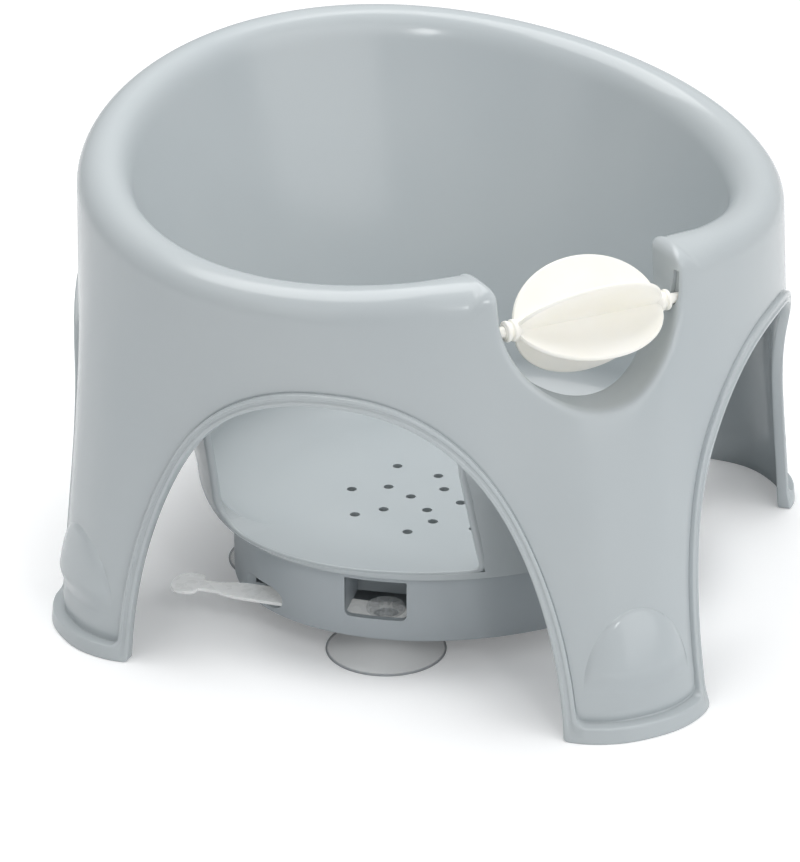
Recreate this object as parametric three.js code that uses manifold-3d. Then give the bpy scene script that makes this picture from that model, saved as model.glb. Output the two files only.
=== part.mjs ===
// Baby bath seat: a four-legged ring with a rolled rim, a bowl with two leg openings,
// an oval base with four suction cups and their release levers, and a finned play roller.
// Millimetres, +Z up. The seat faces -Y. The origin is on the floor, under the middle
// of the overall width and depth.

import * as THREE from 'three';
import { mergeVertices } from 'three/addons/utils/BufferGeometryUtils.js';
import Module from 'manifold-3d';

const wasm = await Module();
wasm.setup();

// Footprint, measured from the point midway between the two side feet
const sideReach = 182;
const frontReach = 194;
const backReach = 194;
const footHalfWidth = 35;

// How far each leg's rounded face stands out of the skirt, at the floor
const frontCrown = 16.5;
const sideCrown = 21;
const backCrown = 18;
const crownHalfWidth = 70;

// Rolled rim: the line through the middle of the roll, and the height of its top
const rimHalfWidth = 143;
const rimFront = 128;
const rimBack = 136;
const rimRoll = 12;
const crestFrontHeight = 187;
const crestDipHeight = 180;
const crestBackHeight = 216;
const crestDipAngle = 57;

// Skirt wall, its arches between the legs, and the bead round their edges
const wall = 3;
const archHeight = 135;
const archPower = 2.25;
const beadWidth = 5;
const beadProud = 2;
const ledgeHeight = 6.5;
const ledgeProud = 4;

// Notch in the front of the rim: a round cut about a centre just under the rim's top, with a
// flat land that narrows downward. The bowl's wall comes forward under the land.
const notchRadius = 41.5;
const notchHeight = 172.5;
const notchStraight = 3;
const notchCorner = 5;
const notchMiddleCorner = 1.5;
const notchSquareness = 5;
const notchLandWidth = 19.5;
const notchFlareBottom = 78;
const notchFlareAngle = 20;
const notchFlareEndAngle = 32;

// Axle of the roller, across the notch
const axleHeight = 164;
const axleAhead = 3;

// Oval base under the bowl, in plan from the point midway between the two side feet
const baseHalfWidth = 103;
const baseFront = 109;
const baseBack = 62;
const drumBottom = 12;
const drumTop = 42;
const drumFlange = 14;
const drumTopWall = 2.5;
const drumLedge = 3;
const ledgeThickness = 2;
const windowWidth = 27;
const windowHeight = 18;
const plateInset = 1;
const plateThickness = 3;
const plateBand = 50;

// Bowl: how far the inside of its wall lies outside the base, where the fillet to the floor ends
const bowlSideFlare = 10;
const bowlFrontFlare = 0;
const bowlBackFlare = 14;
const bowlFillet = 17;
const floorThickness = 3;
const floorLip = 3;
const floorInset = 12;
const openingFrontAngle = 17;
const openingLean = 5.5;
const openingRearAngle = 82.5;
const openingCornerAngle = 73;
const openingCornerHeight = 14;
const openingTop = 138;
const openingShoulder = 96;
const openingPeakAngle = 52;
const drainRadius = 2.2;

// Suction cups
const cupRadius = 26;
const cupSideInset = 41;
const cupEndInset = 36;
const cupDomeHeight = 8;
const cupSkin = 1.6;
const cupNeckRadius = 5.2;
const cupHeadRadius = 8.5;
const cupHeadHeight = 3;
const cupTopRadius = 7.5;

// Release levers
const leverThickness = 1.6;
const leverPlay = 0.4;
const leverWidth = 14;
const leverEyeWall = 3.4;
const leverEarWidth = 18;
const leverEarLength = 13;
const leverNeckWidth = 8;
const leverReach = 97;
const slotWidth = 16;
const slotHeight = 10;
const slotRise = 1;

// Play roller
const rollerRadius = 25;
const rollerHalfLength = 35.5;
const finCount = 5;
const finThickness = 2;
const finPhase = 49;
const rollerCore = 4;
const hubRadius = 4.6;
const pinRadius = 2.2;
const pinPlay = 0.35;
const pinLength = 7;
const hubPlay = 0.8;
const snapRampHeight = 12;
const snapRampWidth = 3;
const snapRampDepth = 1.6;

// Screws that hold the base plate to the bowl's bosses
const screwInset = 25;
const bossRadius = 4.5;
const bossBottom = 17;
const screwRadius = 1.5;
const screwHeadRadius = 3.4;
const screwHeadHeight = 1.8;
const screwDepth = 16;

// Clearance between touching pieces, and the overrun of every cutting body
const gap = 0.3;
const seamGap = 0.35;
const overrun = 2;

// Mesh fineness
const legSegments = 3;
const archSegments = 9;
const baseSegments = 56;
const sideFootSegments = 6;
const notchSegments = 8;
const cornerSegments = 2;
const wallRows = 4;
const rollSegments = 7;
const boreSegments = 16;
const screwSegments = 12;
const cupSegments = 24;
const drainSegments = 8;
const filletRows = 4;
const openingSteps = 7;
const rollerRows = 12;
const leverCurveSegments = 6;
const weldDistance = 1e-4;

const colors = { grey: 0xb4bcbe, cream: 0xf6f3ea, clear: 0xd9dcd6, steel: 0xb9bcc0 };
const deg = Math.PI / 180;
const tau = 2 * Math.PI;
const planShift = (frontReach - backReach) / 2;
const axleY = planShift - rimFront - axleAhead;
const baseY = planShift + (baseBack - baseFront) / 2;
const baseHalfDepth = (baseFront + baseBack) / 2;
const cupSide = baseHalfWidth - cupSideInset;
const cupForward = baseHalfDepth - cupEndInset;
const rimOval = { halfWidth: rimHalfWidth, front: rimFront, back: rimBack };
const baseOval = { halfWidth: baseHalfWidth, front: baseFront, back: baseBack };
const bowlOval = {
  halfWidth: baseHalfWidth + bowlSideFlare, front: baseFront + bowlFrontFlare, back: baseBack + bowlBackFlare,
};

// Shape functions of the azimuth, 0 at the front, growing toward +X

function mix(a, b, t) {
  return a + (b - a) * t;
}

function foldAngle(angle) {
  return Math.abs(Math.atan2(Math.sin(angle), Math.cos(angle)));
}

function easeBetween(a, b, t) {
  return mix(a, b, (1 - Math.cos(Math.PI * t)) / 2);
}

function smoothStep(from, to, value) {
  const t = Math.min(Math.max((value - from) / (to - from), 0), 1);
  return t * t * (3 - 2 * t);
}

function pointAt(angle, radius, z) {
  return new THREE.Vector3(radius * Math.sin(angle), planShift - radius * Math.cos(angle), z);
}

// Radius, from the leg centre, of an oval given by its half width and its two reaches
function ovalPlan(angle, oval, offset = 0) {
  const halfWidth = oval.halfWidth + offset;
  const depth = (oval.front + oval.back) / 2 + offset;
  const shift = (oval.back - oval.front) / 2;
  const sine = Math.sin(angle);
  const cosine = Math.cos(angle);
  const a = (sine / halfWidth) ** 2 + (cosine / depth) ** 2;
  const b = 2 * cosine * shift / depth ** 2;
  const c = (shift / depth) ** 2 - 1;
  return (Math.sqrt(b * b - 4 * a * c) - b) / (2 * a);
}

function rimMiddleHeight(angle) {
  const fold = foldAngle(angle);
  const dip = crestDipAngle * deg;
  const front = easeBetween(crestFrontHeight, crestDipHeight, Math.min(fold / dip, 1));
  const back = easeBetween(crestDipHeight, crestBackHeight, Math.max((fold - dip) / (Math.PI - dip), 0));
  return (fold < dip ? front : back) - rimRoll;
}

// Outline of the skirt at the floor: an oval with a rounded crown at each leg
function skirtPlan(angle) {
  const fold = foldAngle(angle);
  const cosine = Math.cos(angle);
  const endReach = cosine > 0 ? frontReach - frontCrown : backReach - backCrown;
  const oval = mix(sideReach - sideCrown, endReach, cosine * cosine) - ledgeProud;
  const crown = (centre, height, reach) => {
    const away = Math.min(Math.abs(fold - centre) * reach / crownHalfWidth, 1);
    return height * (1 - away ** 3 * (away * (6 * away - 15) + 10));
  };
  return oval + crown(0, frontCrown, frontReach) + crown(Math.PI / 2, sideCrown, sideReach)
    + crown(Math.PI, backCrown, backReach);
}

function skirtRadius(angle, z) {
  const top = rimMiddleHeight(angle);
  const rimOuter = ovalPlan(angle, rimOval, rimRoll);
  return mix(rimOuter, skirtPlan(angle), (top - z) / top);
}

const floorTop = drumTop + gap + floorThickness;
const wallFoot = floorTop + bowlFillet;

function bowlRadius(angle, z) {
  const top = rimMiddleHeight(angle);
  const foot = ovalPlan(angle, bowlOval);
  const plain = mix(foot, ovalPlan(angle, rimOval, -rimRoll), (z - wallFoot) / (top - wallFoot));
  const lowest = notchHeight - notchRadius - rimRoll;
  const land = mix(notchLandWidth, 2 * rimRoll, smoothStep(lowest, rimMiddleHeight(0), z));
  const upward = smoothStep(notchFlareBottom, lowest, z);
  const flare = smoothStep(notchFlareEndAngle * deg, notchFlareAngle * deg, foldAngle(angle)) * upward;
  return plain + (skirtRadius(angle, z) - land - plain) * flare;
}

// Horizontal outward direction of a plan curve
function outward(radiusAt, angle, z) {
  const step = deg / 2;
  const before = pointAt(angle - step, radiusAt(angle - step, z), 0);
  const after = pointAt(angle + step, radiusAt(angle + step, z), 0);
  const along = after.sub(before).normalize();
  return new THREE.Vector3(along.y, -along.x, 0);
}

// The columns that the skirt and the bowl share

function footAngle(reach) {
  return Math.asin(footHalfWidth / (reach - ledgeProud));
}

// Lower edge of the skirt over half the ring: foot, arch, side foot, arch, back foot
function lowerEdgeHalf() {
  const front = footAngle(frontReach);
  const side = footAngle(sideReach);
  const back = Math.PI - footAngle(backReach);
  const edge = [];
  const addArch = (from, to) => {
    for (let i = 1; i < 2 * archSegments; i++) {
      const turn = Math.PI * i / (2 * archSegments);
      const across = Math.abs(Math.cos(turn)) ** (2 / archPower) * Math.sign(Math.cos(turn));
      const height = archHeight * Math.sin(turn) ** (2 / archPower);
      edge.push({ angle: mix(from, to, (1 - across) / 2), z: height, foot: false });
    }
  };
  const addFoot = (from, to, count) => {
    for (let i = 0; i <= count; i++) {
      edge.push({ angle: mix(from, to, i / count), z: 0, foot: true });
    }
  };
  addFoot(0, front, legSegments);
  addArch(front, Math.PI / 2 - side);
  addFoot(Math.PI / 2 - side, Math.PI / 2 + side, sideFootSegments);
  addArch(Math.PI / 2 + side, back);
  addFoot(back, Math.PI, legSegments);
  return edge;
}

function angleAtX(x, z, radiusAt) {
  let angle = 0;
  for (let i = 0; i < 4; i++) angle = Math.asin(x / radiusAt(angle, z));
  return angle;
}

// Ends of the roll's section over the front sector: round the notch, then along the rim.
// The rise runs from the roll's middle line to the notch's surface, square to the Y axis.
function notchPath(lastAngle, count) {
  const path = [];
  const middleRadius = notchRadius + rimRoll;
  const cornerX = middleRadius + notchMiddleCorner;
  const rimZ = rimMiddleHeight(Math.asin(cornerX / (rimFront + rimRoll / 2)));
  const add = (x, z, rise, power) => {
    const top = { angle: angleAtX(x, z, skirtRadius), z };
    path.push({ top, inner: { angle: angleAtX(x, z, bowlRadius), z }, rise, power });
  };
  const arcTop = rimZ - notchMiddleCorner - notchStraight;
  const lastTurn = Math.acos((notchHeight - arcTop) / middleRadius);
  for (let i = 0; i <= notchSegments; i++) {
    const turn = lastTurn * i / notchSegments;
    const rise = new THREE.Vector3(-Math.sin(turn), 0, Math.cos(turn)).multiplyScalar(rimRoll);
    add(middleRadius * Math.sin(turn), notchHeight - middleRadius * Math.cos(turn), rise, notchSquareness);
  }
  for (let i = 0; i <= cornerSegments; i++) {
    const turn = Math.PI / 2 * i / cornerSegments;
    const sideways = 1 - Math.cos(turn);
    const lowered = 1 - Math.sin(turn);
    const x = middleRadius + notchMiddleCorner * sideways;
    const z = rimZ - notchMiddleCorner * lowered;
    const surfaceX = notchRadius + notchCorner * sideways;
    const surfaceZ = rimZ + rimRoll - notchCorner * lowered;
    const rise = new THREE.Vector3(surfaceX - x, 0, surfaceZ - z);
    add(x, z, rise, mix(notchSquareness, 2, i / (cornerSegments + 1)));
  }
  const left = count - path.length + 1;
  const last = path[path.length - 1];
  for (let i = 1; i <= left; i++) {
    const angle = mix(last.top.angle, lastAngle, i / left);
    const innerAngle = mix(last.inner.angle, lastAngle, i / left);
    const z = rimMiddleHeight(angle);
    path.push({ top: { angle, z }, inner: { angle: innerAngle, z }, power: 2 });
  }
  return path;
}

function shellColumns() {
  const edge = lowerEdgeHalf();
  const apex = legSegments + archSegments;
  const path = notchPath(edge[apex].angle, apex);
  const half = edge.map((low, i) => {
    if (i <= apex) return { low, ...path[i] };
    const even = mix(edge[apex].angle, Math.PI, (i - apex) / (edge.length - 1 - apex));
    const angle = mix(even, low.angle, 1 / 2);
    const top = { angle, z: rimMiddleHeight(angle) };
    return { low, top, inner: top, power: 2 };
  });
  const flip = place => ({ ...place, angle: -place.angle });
  const flipRise = rise => rise && new THREE.Vector3(-rise.x, rise.y, rise.z);
  const mirrored = half.slice(1, -1).reverse()
    .map(({ low, top, inner, rise, power }) => {
      return { low: flip(low), top: flip(top), inner: flip(inner), rise: flipRise(rise), power };
    });
  return withFrames([...half, ...mirrored]);
}

// Adds the roll's frame to each column, and the place where the bowl's wall meets the roll
function withFrames(columns) {
  const count = columns.length;
  const surfacePoint = ({ angle, z }, radiusAt) => pointAt(angle, radiusAt(angle, z), z);
  const outer = columns.map(({ top }) => surfacePoint(top, skirtRadius));
  const inner = columns.map(column => surfacePoint(column.inner, bowlRadius));
  const middle = outer.map((p, i) => p.clone().add(inner[i]).divideScalar(2));
  return columns.map((column, i) => {
    const across = outer[i].clone().sub(inner[i]).divideScalar(2);
    const along = middle[(i + 1) % count].clone().sub(middle[(i + count - 1) % count]);
    const rise = column.rise ?? across.clone().cross(along).setLength(rimRoll);
    const below = inner[i].clone().addScaledVector(rise, -seamGap / rise.length());
    const seam = { angle: Math.atan2(below.x, planShift - below.y), z: below.z };
    return { ...column, middle: middle[i], across, rise, seam };
  });
}

// Mesh helpers

function solidFrom(geometry) {
  const bare = geometry.clone();
  bare.deleteAttribute('normal');
  bare.deleteAttribute('uv');
  const merged = mergeVertices(bare, weldDistance);
  const vertProperties = new Float32Array(merged.attributes.position.array);
  const triVerts = new Uint32Array(merged.index.array);
  return new wasm.Manifold(new wasm.Mesh({ numProp: 3, vertProperties, triVerts }));
}

function geometryFrom(solid) {
  const mesh = solid.getMesh();
  const geometry = new THREE.BufferGeometry();
  geometry.setAttribute('position', new THREE.BufferAttribute(mesh.vertProperties, 3));
  geometry.setIndex(new THREE.BufferAttribute(mesh.triVerts, 1));
  geometry.computeVertexNormals();
  return geometry;
}

function geometryOf(points, indices) {
  const geometry = new THREE.BufferGeometry();
  const position = new Float32Array(points.flatMap(p => [p.x, p.y, p.z]));
  geometry.setAttribute('position', new THREE.BufferAttribute(position, 3));
  geometry.setIndex(signedVolume(points, indices) < 0 ? indices.slice().reverse() : indices);
  geometry.computeVertexNormals();
  return geometry;
}

function signedVolume(points, indices) {
  let sum = 0;
  for (let i = 0; i < indices.length; i += 3) {
    const [a, b, c] = [points[indices[i]], points[indices[i + 1]], points[indices[i + 2]]];
    sum += a.dot(b.clone().cross(c));
  }
  return sum;
}

// A band of quads between rows of points; each row closes on itself
function ringBand(indices, rowA, rowB, count) {
  for (let i = 0; i < count; i++) {
    const next = (i + 1) % count;
    indices.push(rowA + i, rowA + next, rowB + next);
    indices.push(rowA + i, rowB + next, rowB + i);
  }
}

// Closed body swept round a loop: every section is a closed list of points
function loopOfSections(sections) {
  const count = sections[0].length;
  const indices = [];
  sections.forEach((_, i) => {
    ringBand(indices, i * count, ((i + 1) % sections.length) * count, count);
  });
  return geometryOf(sections.flat(), indices);
}

// Closed body from stacked rings, closed at both ends by a fan to a middle point
function stackedRings(rings) {
  const count = rings[0].length;
  const indices = [];
  for (let i = 0; i + 1 < rings.length; i++) {
    ringBand(indices, i * count, (i + 1) * count, count);
  }
  const points = rings.flat();
  const addCap = (ring, start, flip) => {
    const centre = ring.reduce((sum, p) => sum.add(p), new THREE.Vector3());
    points.push(centre.divideScalar(count));
    for (let i = 0; i < count; i++) {
      const pair = [start + i, start + (i + 1) % count];
      const [a, b] = flip ? pair : pair.slice().reverse();
      indices.push(points.length - 1, a, b);
    }
  };
  addCap(rings[0], 0, false);
  addCap(rings[rings.length - 1], (rings.length - 1) * count, true);
  return geometryOf(points, indices);
}

function cylinderAlong(axis, radius, length, segments, centre) {
  const geometry = new THREE.CylinderGeometry(radius, radius, length, segments);
  const turn = new THREE.Quaternion().setFromUnitVectors(new THREE.Vector3(0, 1, 0), axis);
  geometry.applyQuaternion(turn);
  geometry.translate(centre.x, centre.y, centre.z);
  return geometry;
}

function lathe(profile, segments) {
  const geometry = new THREE.LatheGeometry(profile.map(([r, z]) => new THREE.Vector2(r, z)), segments);
  geometry.rotateX(Math.PI / 2);
  return geometry;
}

function addPiece(group, name, geometry, color, roughness, metalness = 0) {
  const material = new THREE.MeshStandardMaterial({ color, roughness, metalness });
  const mesh = new THREE.Mesh(geometry, material);
  mesh.name = name;
  group.add(mesh);
  return mesh;
}

const up = new THREE.Vector3(0, 0, 1);
const acrossX = new THREE.Vector3(1, 0, 0);
const axle = new THREE.Vector3(0, axleY, axleHeight);

// Outer shell: rolled rim, skirt and four legs

function shellSections(columns) {
  const beads = edgeInsets(columns.map(({ low }) => low));
  return columns.map((column, i) => shellSection(column, beads[i]));
}

// Where the bead's upper edge lies on the skirt, square to the lower edge
function edgeInsets(edge) {
  const count = edge.length;
  const flat = edge.map(({ angle, z }) => new THREE.Vector2(angle * sideReach, z));
  const side = (a, b) => {
    const run = b.clone().sub(a);
    run.x -= tau * sideReach * Math.round(run.x / (tau * sideReach));
    return new THREE.Vector2(-run.y, run.x).normalize();
  };
  return edge.map((place, i) => {
    const before = side(flat[(i + count - 1) % count], flat[i]);
    const after = side(flat[i], flat[(i + 1) % count]);
    const inward = before.clone().add(after).normalize();
    const miter = 1 / Math.max(inward.dot(after), 1 / 2);
    const width = (place.foot ? ledgeHeight : beadWidth) * miter;
    const proud = place.foot ? ledgeProud : beadProud;
    return { angle: place.angle + inward.x * width / sideReach, z: place.z + inward.y * width, proud };
  });
}

function shellSection({ low, top, power, middle, across, rise }, bead) {
  const section = [];
  const thin = 1 - wall / across.length();
  const onSkirt = (place, offset) => {
    const side = outward(skirtRadius, place.angle, place.z);
    return pointAt(place.angle, skirtRadius(place.angle, place.z), place.z).addScaledVector(side, offset);
  };
  const along = t => ({ angle: mix(bead.angle, top.angle, t), z: mix(bead.z, top.z, t) });
  section.push(onSkirt(low, bead.proud));
  section.push(onSkirt(bead, bead.proud));
  for (let i = 0; i < wallRows; i++) section.push(onSkirt(along(i / wallRows), 0));
  const round = value => Math.sign(value) * Math.abs(value) ** (2 / power);
  const onRoll = (turn, share) => middle.clone()
    .addScaledVector(across, round(Math.cos(turn)) * share)
    .addScaledVector(rise, round(Math.sin(turn)) * share);
  for (let i = 0; i <= rollSegments; i++) section.push(onRoll(Math.PI * i / rollSegments, 1));
  for (let i = rollSegments; i >= 0; i -= 2) section.push(onRoll(Math.PI * i / rollSegments, thin));
  for (let i = wallRows - 1; i >= 0; i--) section.push(onSkirt(along(i / wallRows), -wall));
  section.push(onSkirt(low, -wall));
  return section;
}

function snapRamp(side) {
  const wide = snapRampWidth;
  const wallX = side * (notchRadius - overrun);
  const deepX = side * (notchRadius + snapRampDepth);
  const low = axleHeight;
  const high = axleHeight + snapRampHeight;
  const ring = x => [[-wide, low], [wide, low], [wide / 2, high], [-wide / 2, high]]
    .map(([y, z]) => new THREE.Vector3(x, axleY + y, z));
  return stackedRings([ring(wallX), ring(deepX)]);
}

function outerShell(columns) {
  let body = solidFrom(loopOfSections(shellSections(columns)));
  const bore = 2 * (hubEnd() + pinLength + gap);
  body = body.subtract(solidFrom(cylinderAlong(acrossX, pinRadius + pinPlay, bore, boreSegments, axle)));
  for (const side of [-1, 1]) body = body.subtract(solidFrom(snapRamp(side)));
  return geometryFrom(body);
}

// Seat bowl

function bowlBody(columns) {
  const bottomZ = floorTop - floorThickness;
  const onWall = (place, offset) => {
    const side = outward(bowlRadius, place.angle, place.z);
    return pointAt(place.angle, bowlRadius(place.angle, place.z), place.z).addScaledVector(side, offset);
  };
  const ringAt = make => columns.map(make);
  const filletRing = (k, baseOffset, wallOffset, fromZ) => ringAt(({ low }) => {
    const turn = Math.PI / 2 * k / filletRows;
    const from = ovalPlan(low.angle, baseOval, baseOffset);
    const to = ovalPlan(low.angle, bowlOval, wallOffset);
    const height = mix(fromZ, wallFoot, 1 - Math.cos(turn));
    return pointAt(low.angle, mix(from, to, Math.sin(turn)), height);
  });
  const insideFloor = k => filletRing(k, -floorInset, 0, floorTop);
  const outsideFloor = k => filletRing(k, floorLip, wall, bottomZ);
  const wallRing = (t, offset) => ringAt(({ low, seam }) => {
    const turn = Math.round((low.angle - seam.angle) / tau) * tau;
    const angle = mix(low.angle, seam.angle + turn, t);
    return onWall({ angle, z: mix(wallFoot, seam.z, t) }, offset);
  });
  const rings = [];
  for (let k = 0; k <= filletRows; k++) rings.push(insideFloor(k));
  for (let k = 1; k <= wallRows; k++) rings.push(wallRing(k / wallRows, 0));
  for (let k = wallRows; k >= 1; k--) rings.push(wallRing(k / wallRows, wall));
  for (let k = filletRows; k >= 0; k--) rings.push(outsideFloor(k));
  return stackedRings(rings);
}

// Outline of a leg opening as azimuth and height, from its front lower corner
function openingOutline() {
  const steps = openingSteps;
  const front = openingFrontAngle * deg;
  const frontTop = front + openingLean * deg;
  const rear = openingRearAngle * deg;
  const corner = openingCornerAngle * deg;
  const peak = openingPeakAngle * deg;
  const outline = [[front, floorTop]];
  for (let i = 0; i <= 2 * steps; i++) {
    const turn = Math.PI / 2 * i / steps;
    const edge = i < steps ? frontTop : rear;
    const height = mix(openingShoulder, openingTop, Math.sin(turn));
    outline.push([mix(peak, edge, Math.abs(Math.cos(turn))), height]);
  }
  for (let i = 0; i <= steps; i++) {
    const turn = Math.PI / 2 * i / steps;
    const height = floorTop + openingCornerHeight * (1 - Math.sin(turn));
    outline.push([mix(corner, rear, Math.cos(turn)), height]);
  }
  return outline;
}

function legOpening(side) {
  const outline = openingOutline();
  const ring = offset => outline.map(([angle, z]) => {
    return pointAt(side * angle, ovalPlan(angle, baseOval, offset), z);
  });
  return stackedRings([ring(-floorInset - overrun), ring(rimHalfWidth - baseHalfWidth + rimRoll)]);
}

// Places of the drain holes over one half of the floor, as shares of the base's half width:
// how far to the side, and how far behind the base's centre
const drainShares = [
  [0.06, 0.09], [0.17, 0.26], [0.1, -0.04], [0.3, 0.09], [0.45, 0.14], [0.26, -0.04], [0.1, -0.19],
  [0.42, -0.1], [0.26, -0.19], [0.55, -0.09], [0.29, -0.3], [0.43, -0.34], [0.17, -0.44],
];

function drainHoles() {
  const length = floorThickness + 2 * overrun;
  const floorMiddle = floorTop - floorThickness / 2;
  const holes = [];
  for (const [x, y] of drainShares) {
    for (const side of [-1, 1]) {
      const centre = new THREE.Vector3(side * x * baseHalfWidth, baseY + y * baseHalfWidth, floorMiddle);
      holes.push(solidFrom(cylinderAlong(up, drainRadius, length, drainSegments, centre)));
    }
  }
  return wasm.Manifold.union(holes);
}

// Point over the base at an angle about its middle, inside its edge by the inset
function atBase(turn, inset, z) {
  const x = (baseHalfWidth - inset) * Math.sin(turn);
  return new THREE.Vector3(x, baseY - (baseHalfDepth - inset) * Math.cos(turn), z);
}

function quarterTurns(start) {
  return [0, 1, 2, 3].map(i => start + tau * i / 4);
}

// Closed body swept round the base from a closed profile of offset and height
function baseSweep(profile) {
  const turns = Array.from({ length: baseSegments }, (_, i) => tau * i / baseSegments);
  return loopOfSections(turns.map(turn => profile.map(([offset, z]) => {
    return pointAt(turn, ovalPlan(turn, baseOval, offset), z);
  })));
}

function seatBowl(columns) {
  let body = solidFrom(bowlBody(columns));
  const lip = 2 * floorLip;
  body = body.add(solidFrom(baseSweep([
    [-floorInset - lip, floorTop], [floorLip, floorTop],
    [floorLip, floorTop - floorThickness], [-floorInset - lip, floorTop - floorThickness],
  ])));
  for (const turn of quarterTurns(0)) {
    const length = floorTop - floorThickness / 2 - bossBottom;
    const middle = bossBottom + length / 2;
    const post = cylinderAlong(up, bossRadius, length, boreSegments, atBase(turn, screwInset, middle));
    body = body.add(solidFrom(post));
    const depth = screwDepth + gap + overrun;
    const pilot = atBase(turn, screwInset, bossBottom - overrun + depth / 2);
    body = body.subtract(solidFrom(cylinderAlong(up, screwRadius + gap, depth, screwSegments, pilot)));
  }
  for (const side of [-1, 1]) body = body.subtract(solidFrom(legOpening(side)));
  return geometryFrom(body.subtract(drainHoles()));
}

// Oval base

const plateBottom = drumBottom + plateInset;
const plateTop = plateBottom + plateThickness;
const leverBottom = plateTop + leverPlay;
const headBottom = leverBottom + leverThickness + leverPlay;

function cupPlace(side, end) {
  return new THREE.Vector3(side * cupSide, baseY + end * cupForward, 0);
}

// A block that crosses the drum's wall, square to it
function wallBlock(turn, width, lowZ, highZ) {
  const box = new THREE.BoxGeometry(width, 2 * (wall + overrun), highZ - lowZ);
  box.rotateZ(Math.atan2(baseHalfDepth * Math.sin(turn), baseHalfWidth * Math.cos(turn)));
  const centre = atBase(turn, wall / 2, (lowZ + highZ) / 2);
  box.translate(centre.x, centre.y, centre.z);
  return box;
}

// Distance along a lever, at a sideways shift from its middle, to an offset of the base's edge
function leverRun(inset, shift) {
  const x = (cupSide + shift * Math.SQRT1_2) / (baseHalfWidth - inset);
  const y = (-cupForward - shift * Math.SQRT1_2) / (baseHalfDepth - inset);
  const stepX = Math.SQRT1_2 / (baseHalfWidth - inset);
  const stepY = Math.SQRT1_2 / (baseHalfDepth - inset);
  const a = stepX ** 2 + stepY ** 2;
  const b = 2 * (x * stepX + y * stepY);
  const c = x ** 2 + y ** 2 - 1;
  return (Math.sqrt(b * b - 4 * a * c) - b) / (2 * a);
}

function slotBlock(side) {
  const from = leverRun(wall + drumLedge, slotWidth / 2) - overrun;
  const to = leverRun(0, -slotWidth / 2) + overrun;
  const centre = cupPlace(side, -1).addScaledVector(leverDirection(side), (from + to) / 2);
  const box = new THREE.BoxGeometry(slotWidth, to - from, slotHeight);
  box.rotateZ(-side * tau / 8);
  box.translate(centre.x, centre.y, plateBottom + slotRise + slotHeight / 2);
  return box;
}

function leverDirection(side) {
  return new THREE.Vector3(side, 1, 0).normalize();
}

function baseDrum() {
  const ledgeBottom = plateTop + gap;
  const ledgeTop = ledgeBottom + ledgeThickness;
  const ledgeEdge = -wall - drumLedge;
  const profile = [
    [0, drumBottom], [0, drumTop], [-drumFlange, drumTop], [-drumFlange, drumTop - drumTopWall],
    [-wall, drumTop - drumTopWall], [-wall, ledgeTop], [ledgeEdge, ledgeTop], [ledgeEdge, ledgeBottom],
    [-wall, ledgeBottom], [-wall, drumBottom],
  ];
  let body = solidFrom(baseSweep(profile));
  const windowTop = drumTop - drumTopWall;
  for (const turn of quarterTurns(tau / 8)) {
    body = body.subtract(solidFrom(wallBlock(turn, windowWidth, windowTop - windowHeight, windowTop)));
  }
  for (const side of [-1, 1]) body = body.subtract(solidFrom(slotBlock(side)));
  return geometryFrom(body);
}

function basePlate() {
  const edge = -wall - gap;
  let body = solidFrom(baseSweep([
    [edge - plateBand, plateBottom], [edge, plateBottom], [edge, plateTop], [edge - plateBand, plateTop],
  ]));
  const collarTop = headBottom - gap;
  const length = collarTop - plateBottom;
  const bore = length + 2 * overrun;
  const middle = (plateBottom + collarTop) / 2;
  for (const side of [-1, 1]) {
    const place = cupPlace(side, 1).setZ(middle);
    body = body.add(solidFrom(cylinderAlong(up, cupHeadRadius, length, cupSegments, place)));
    for (const end of [-1, 1]) {
      const neckPlace = cupPlace(side, end).setZ(middle);
      const hole = cylinderAlong(up, cupNeckRadius + gap, bore, cupSegments, neckPlace);
      body = body.subtract(solidFrom(hole));
    }
  }
  for (const turn of quarterTurns(0)) {
    const hole = cylinderAlong(up, screwRadius + gap, bore, screwSegments, atBase(turn, screwInset, middle));
    body = body.subtract(solidFrom(hole));
  }
  return geometryFrom(body);
}

function baseScrew() {
  const headTop = plateBottom - gap;
  const profile = [
    [0, headTop - screwHeadHeight], [screwHeadRadius, headTop - screwHeadHeight], [screwHeadRadius, headTop],
    [screwRadius, headTop], [screwRadius, bossBottom + screwDepth], [0, bossBottom + screwDepth],
  ];
  return lathe(profile, screwSegments);
}

// Suction cups and their release levers

function suctionCup() {
  const headTop = headBottom + cupHeadHeight;
  const headEdge = cupHeadHeight / 3;
  const half = (cupRadius + cupTopRadius) / 2;
  const profile = [
    [0, cupDomeHeight - cupSkin], [cupTopRadius, cupDomeHeight - cupSkin],
    [half, (cupDomeHeight - cupSkin) / 2], [cupRadius - cupSkin / 2, 0], [cupRadius, 0],
    [cupRadius, cupSkin / 2], [half, cupDomeHeight / 2 + cupSkin], [cupTopRadius, cupDomeHeight + cupSkin],
    [cupNeckRadius, cupDomeHeight + cupSkin], [cupNeckRadius, headBottom], [cupHeadRadius, headBottom],
    [cupHeadRadius, headTop - headEdge], [cupHeadRadius - headEdge, headTop],
    [cupHeadRadius / 2, headTop], [cupHeadRadius / 3, headTop - headEdge], [0, headTop - headEdge],
  ];
  return lathe(profile, cupSegments);
}

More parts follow.
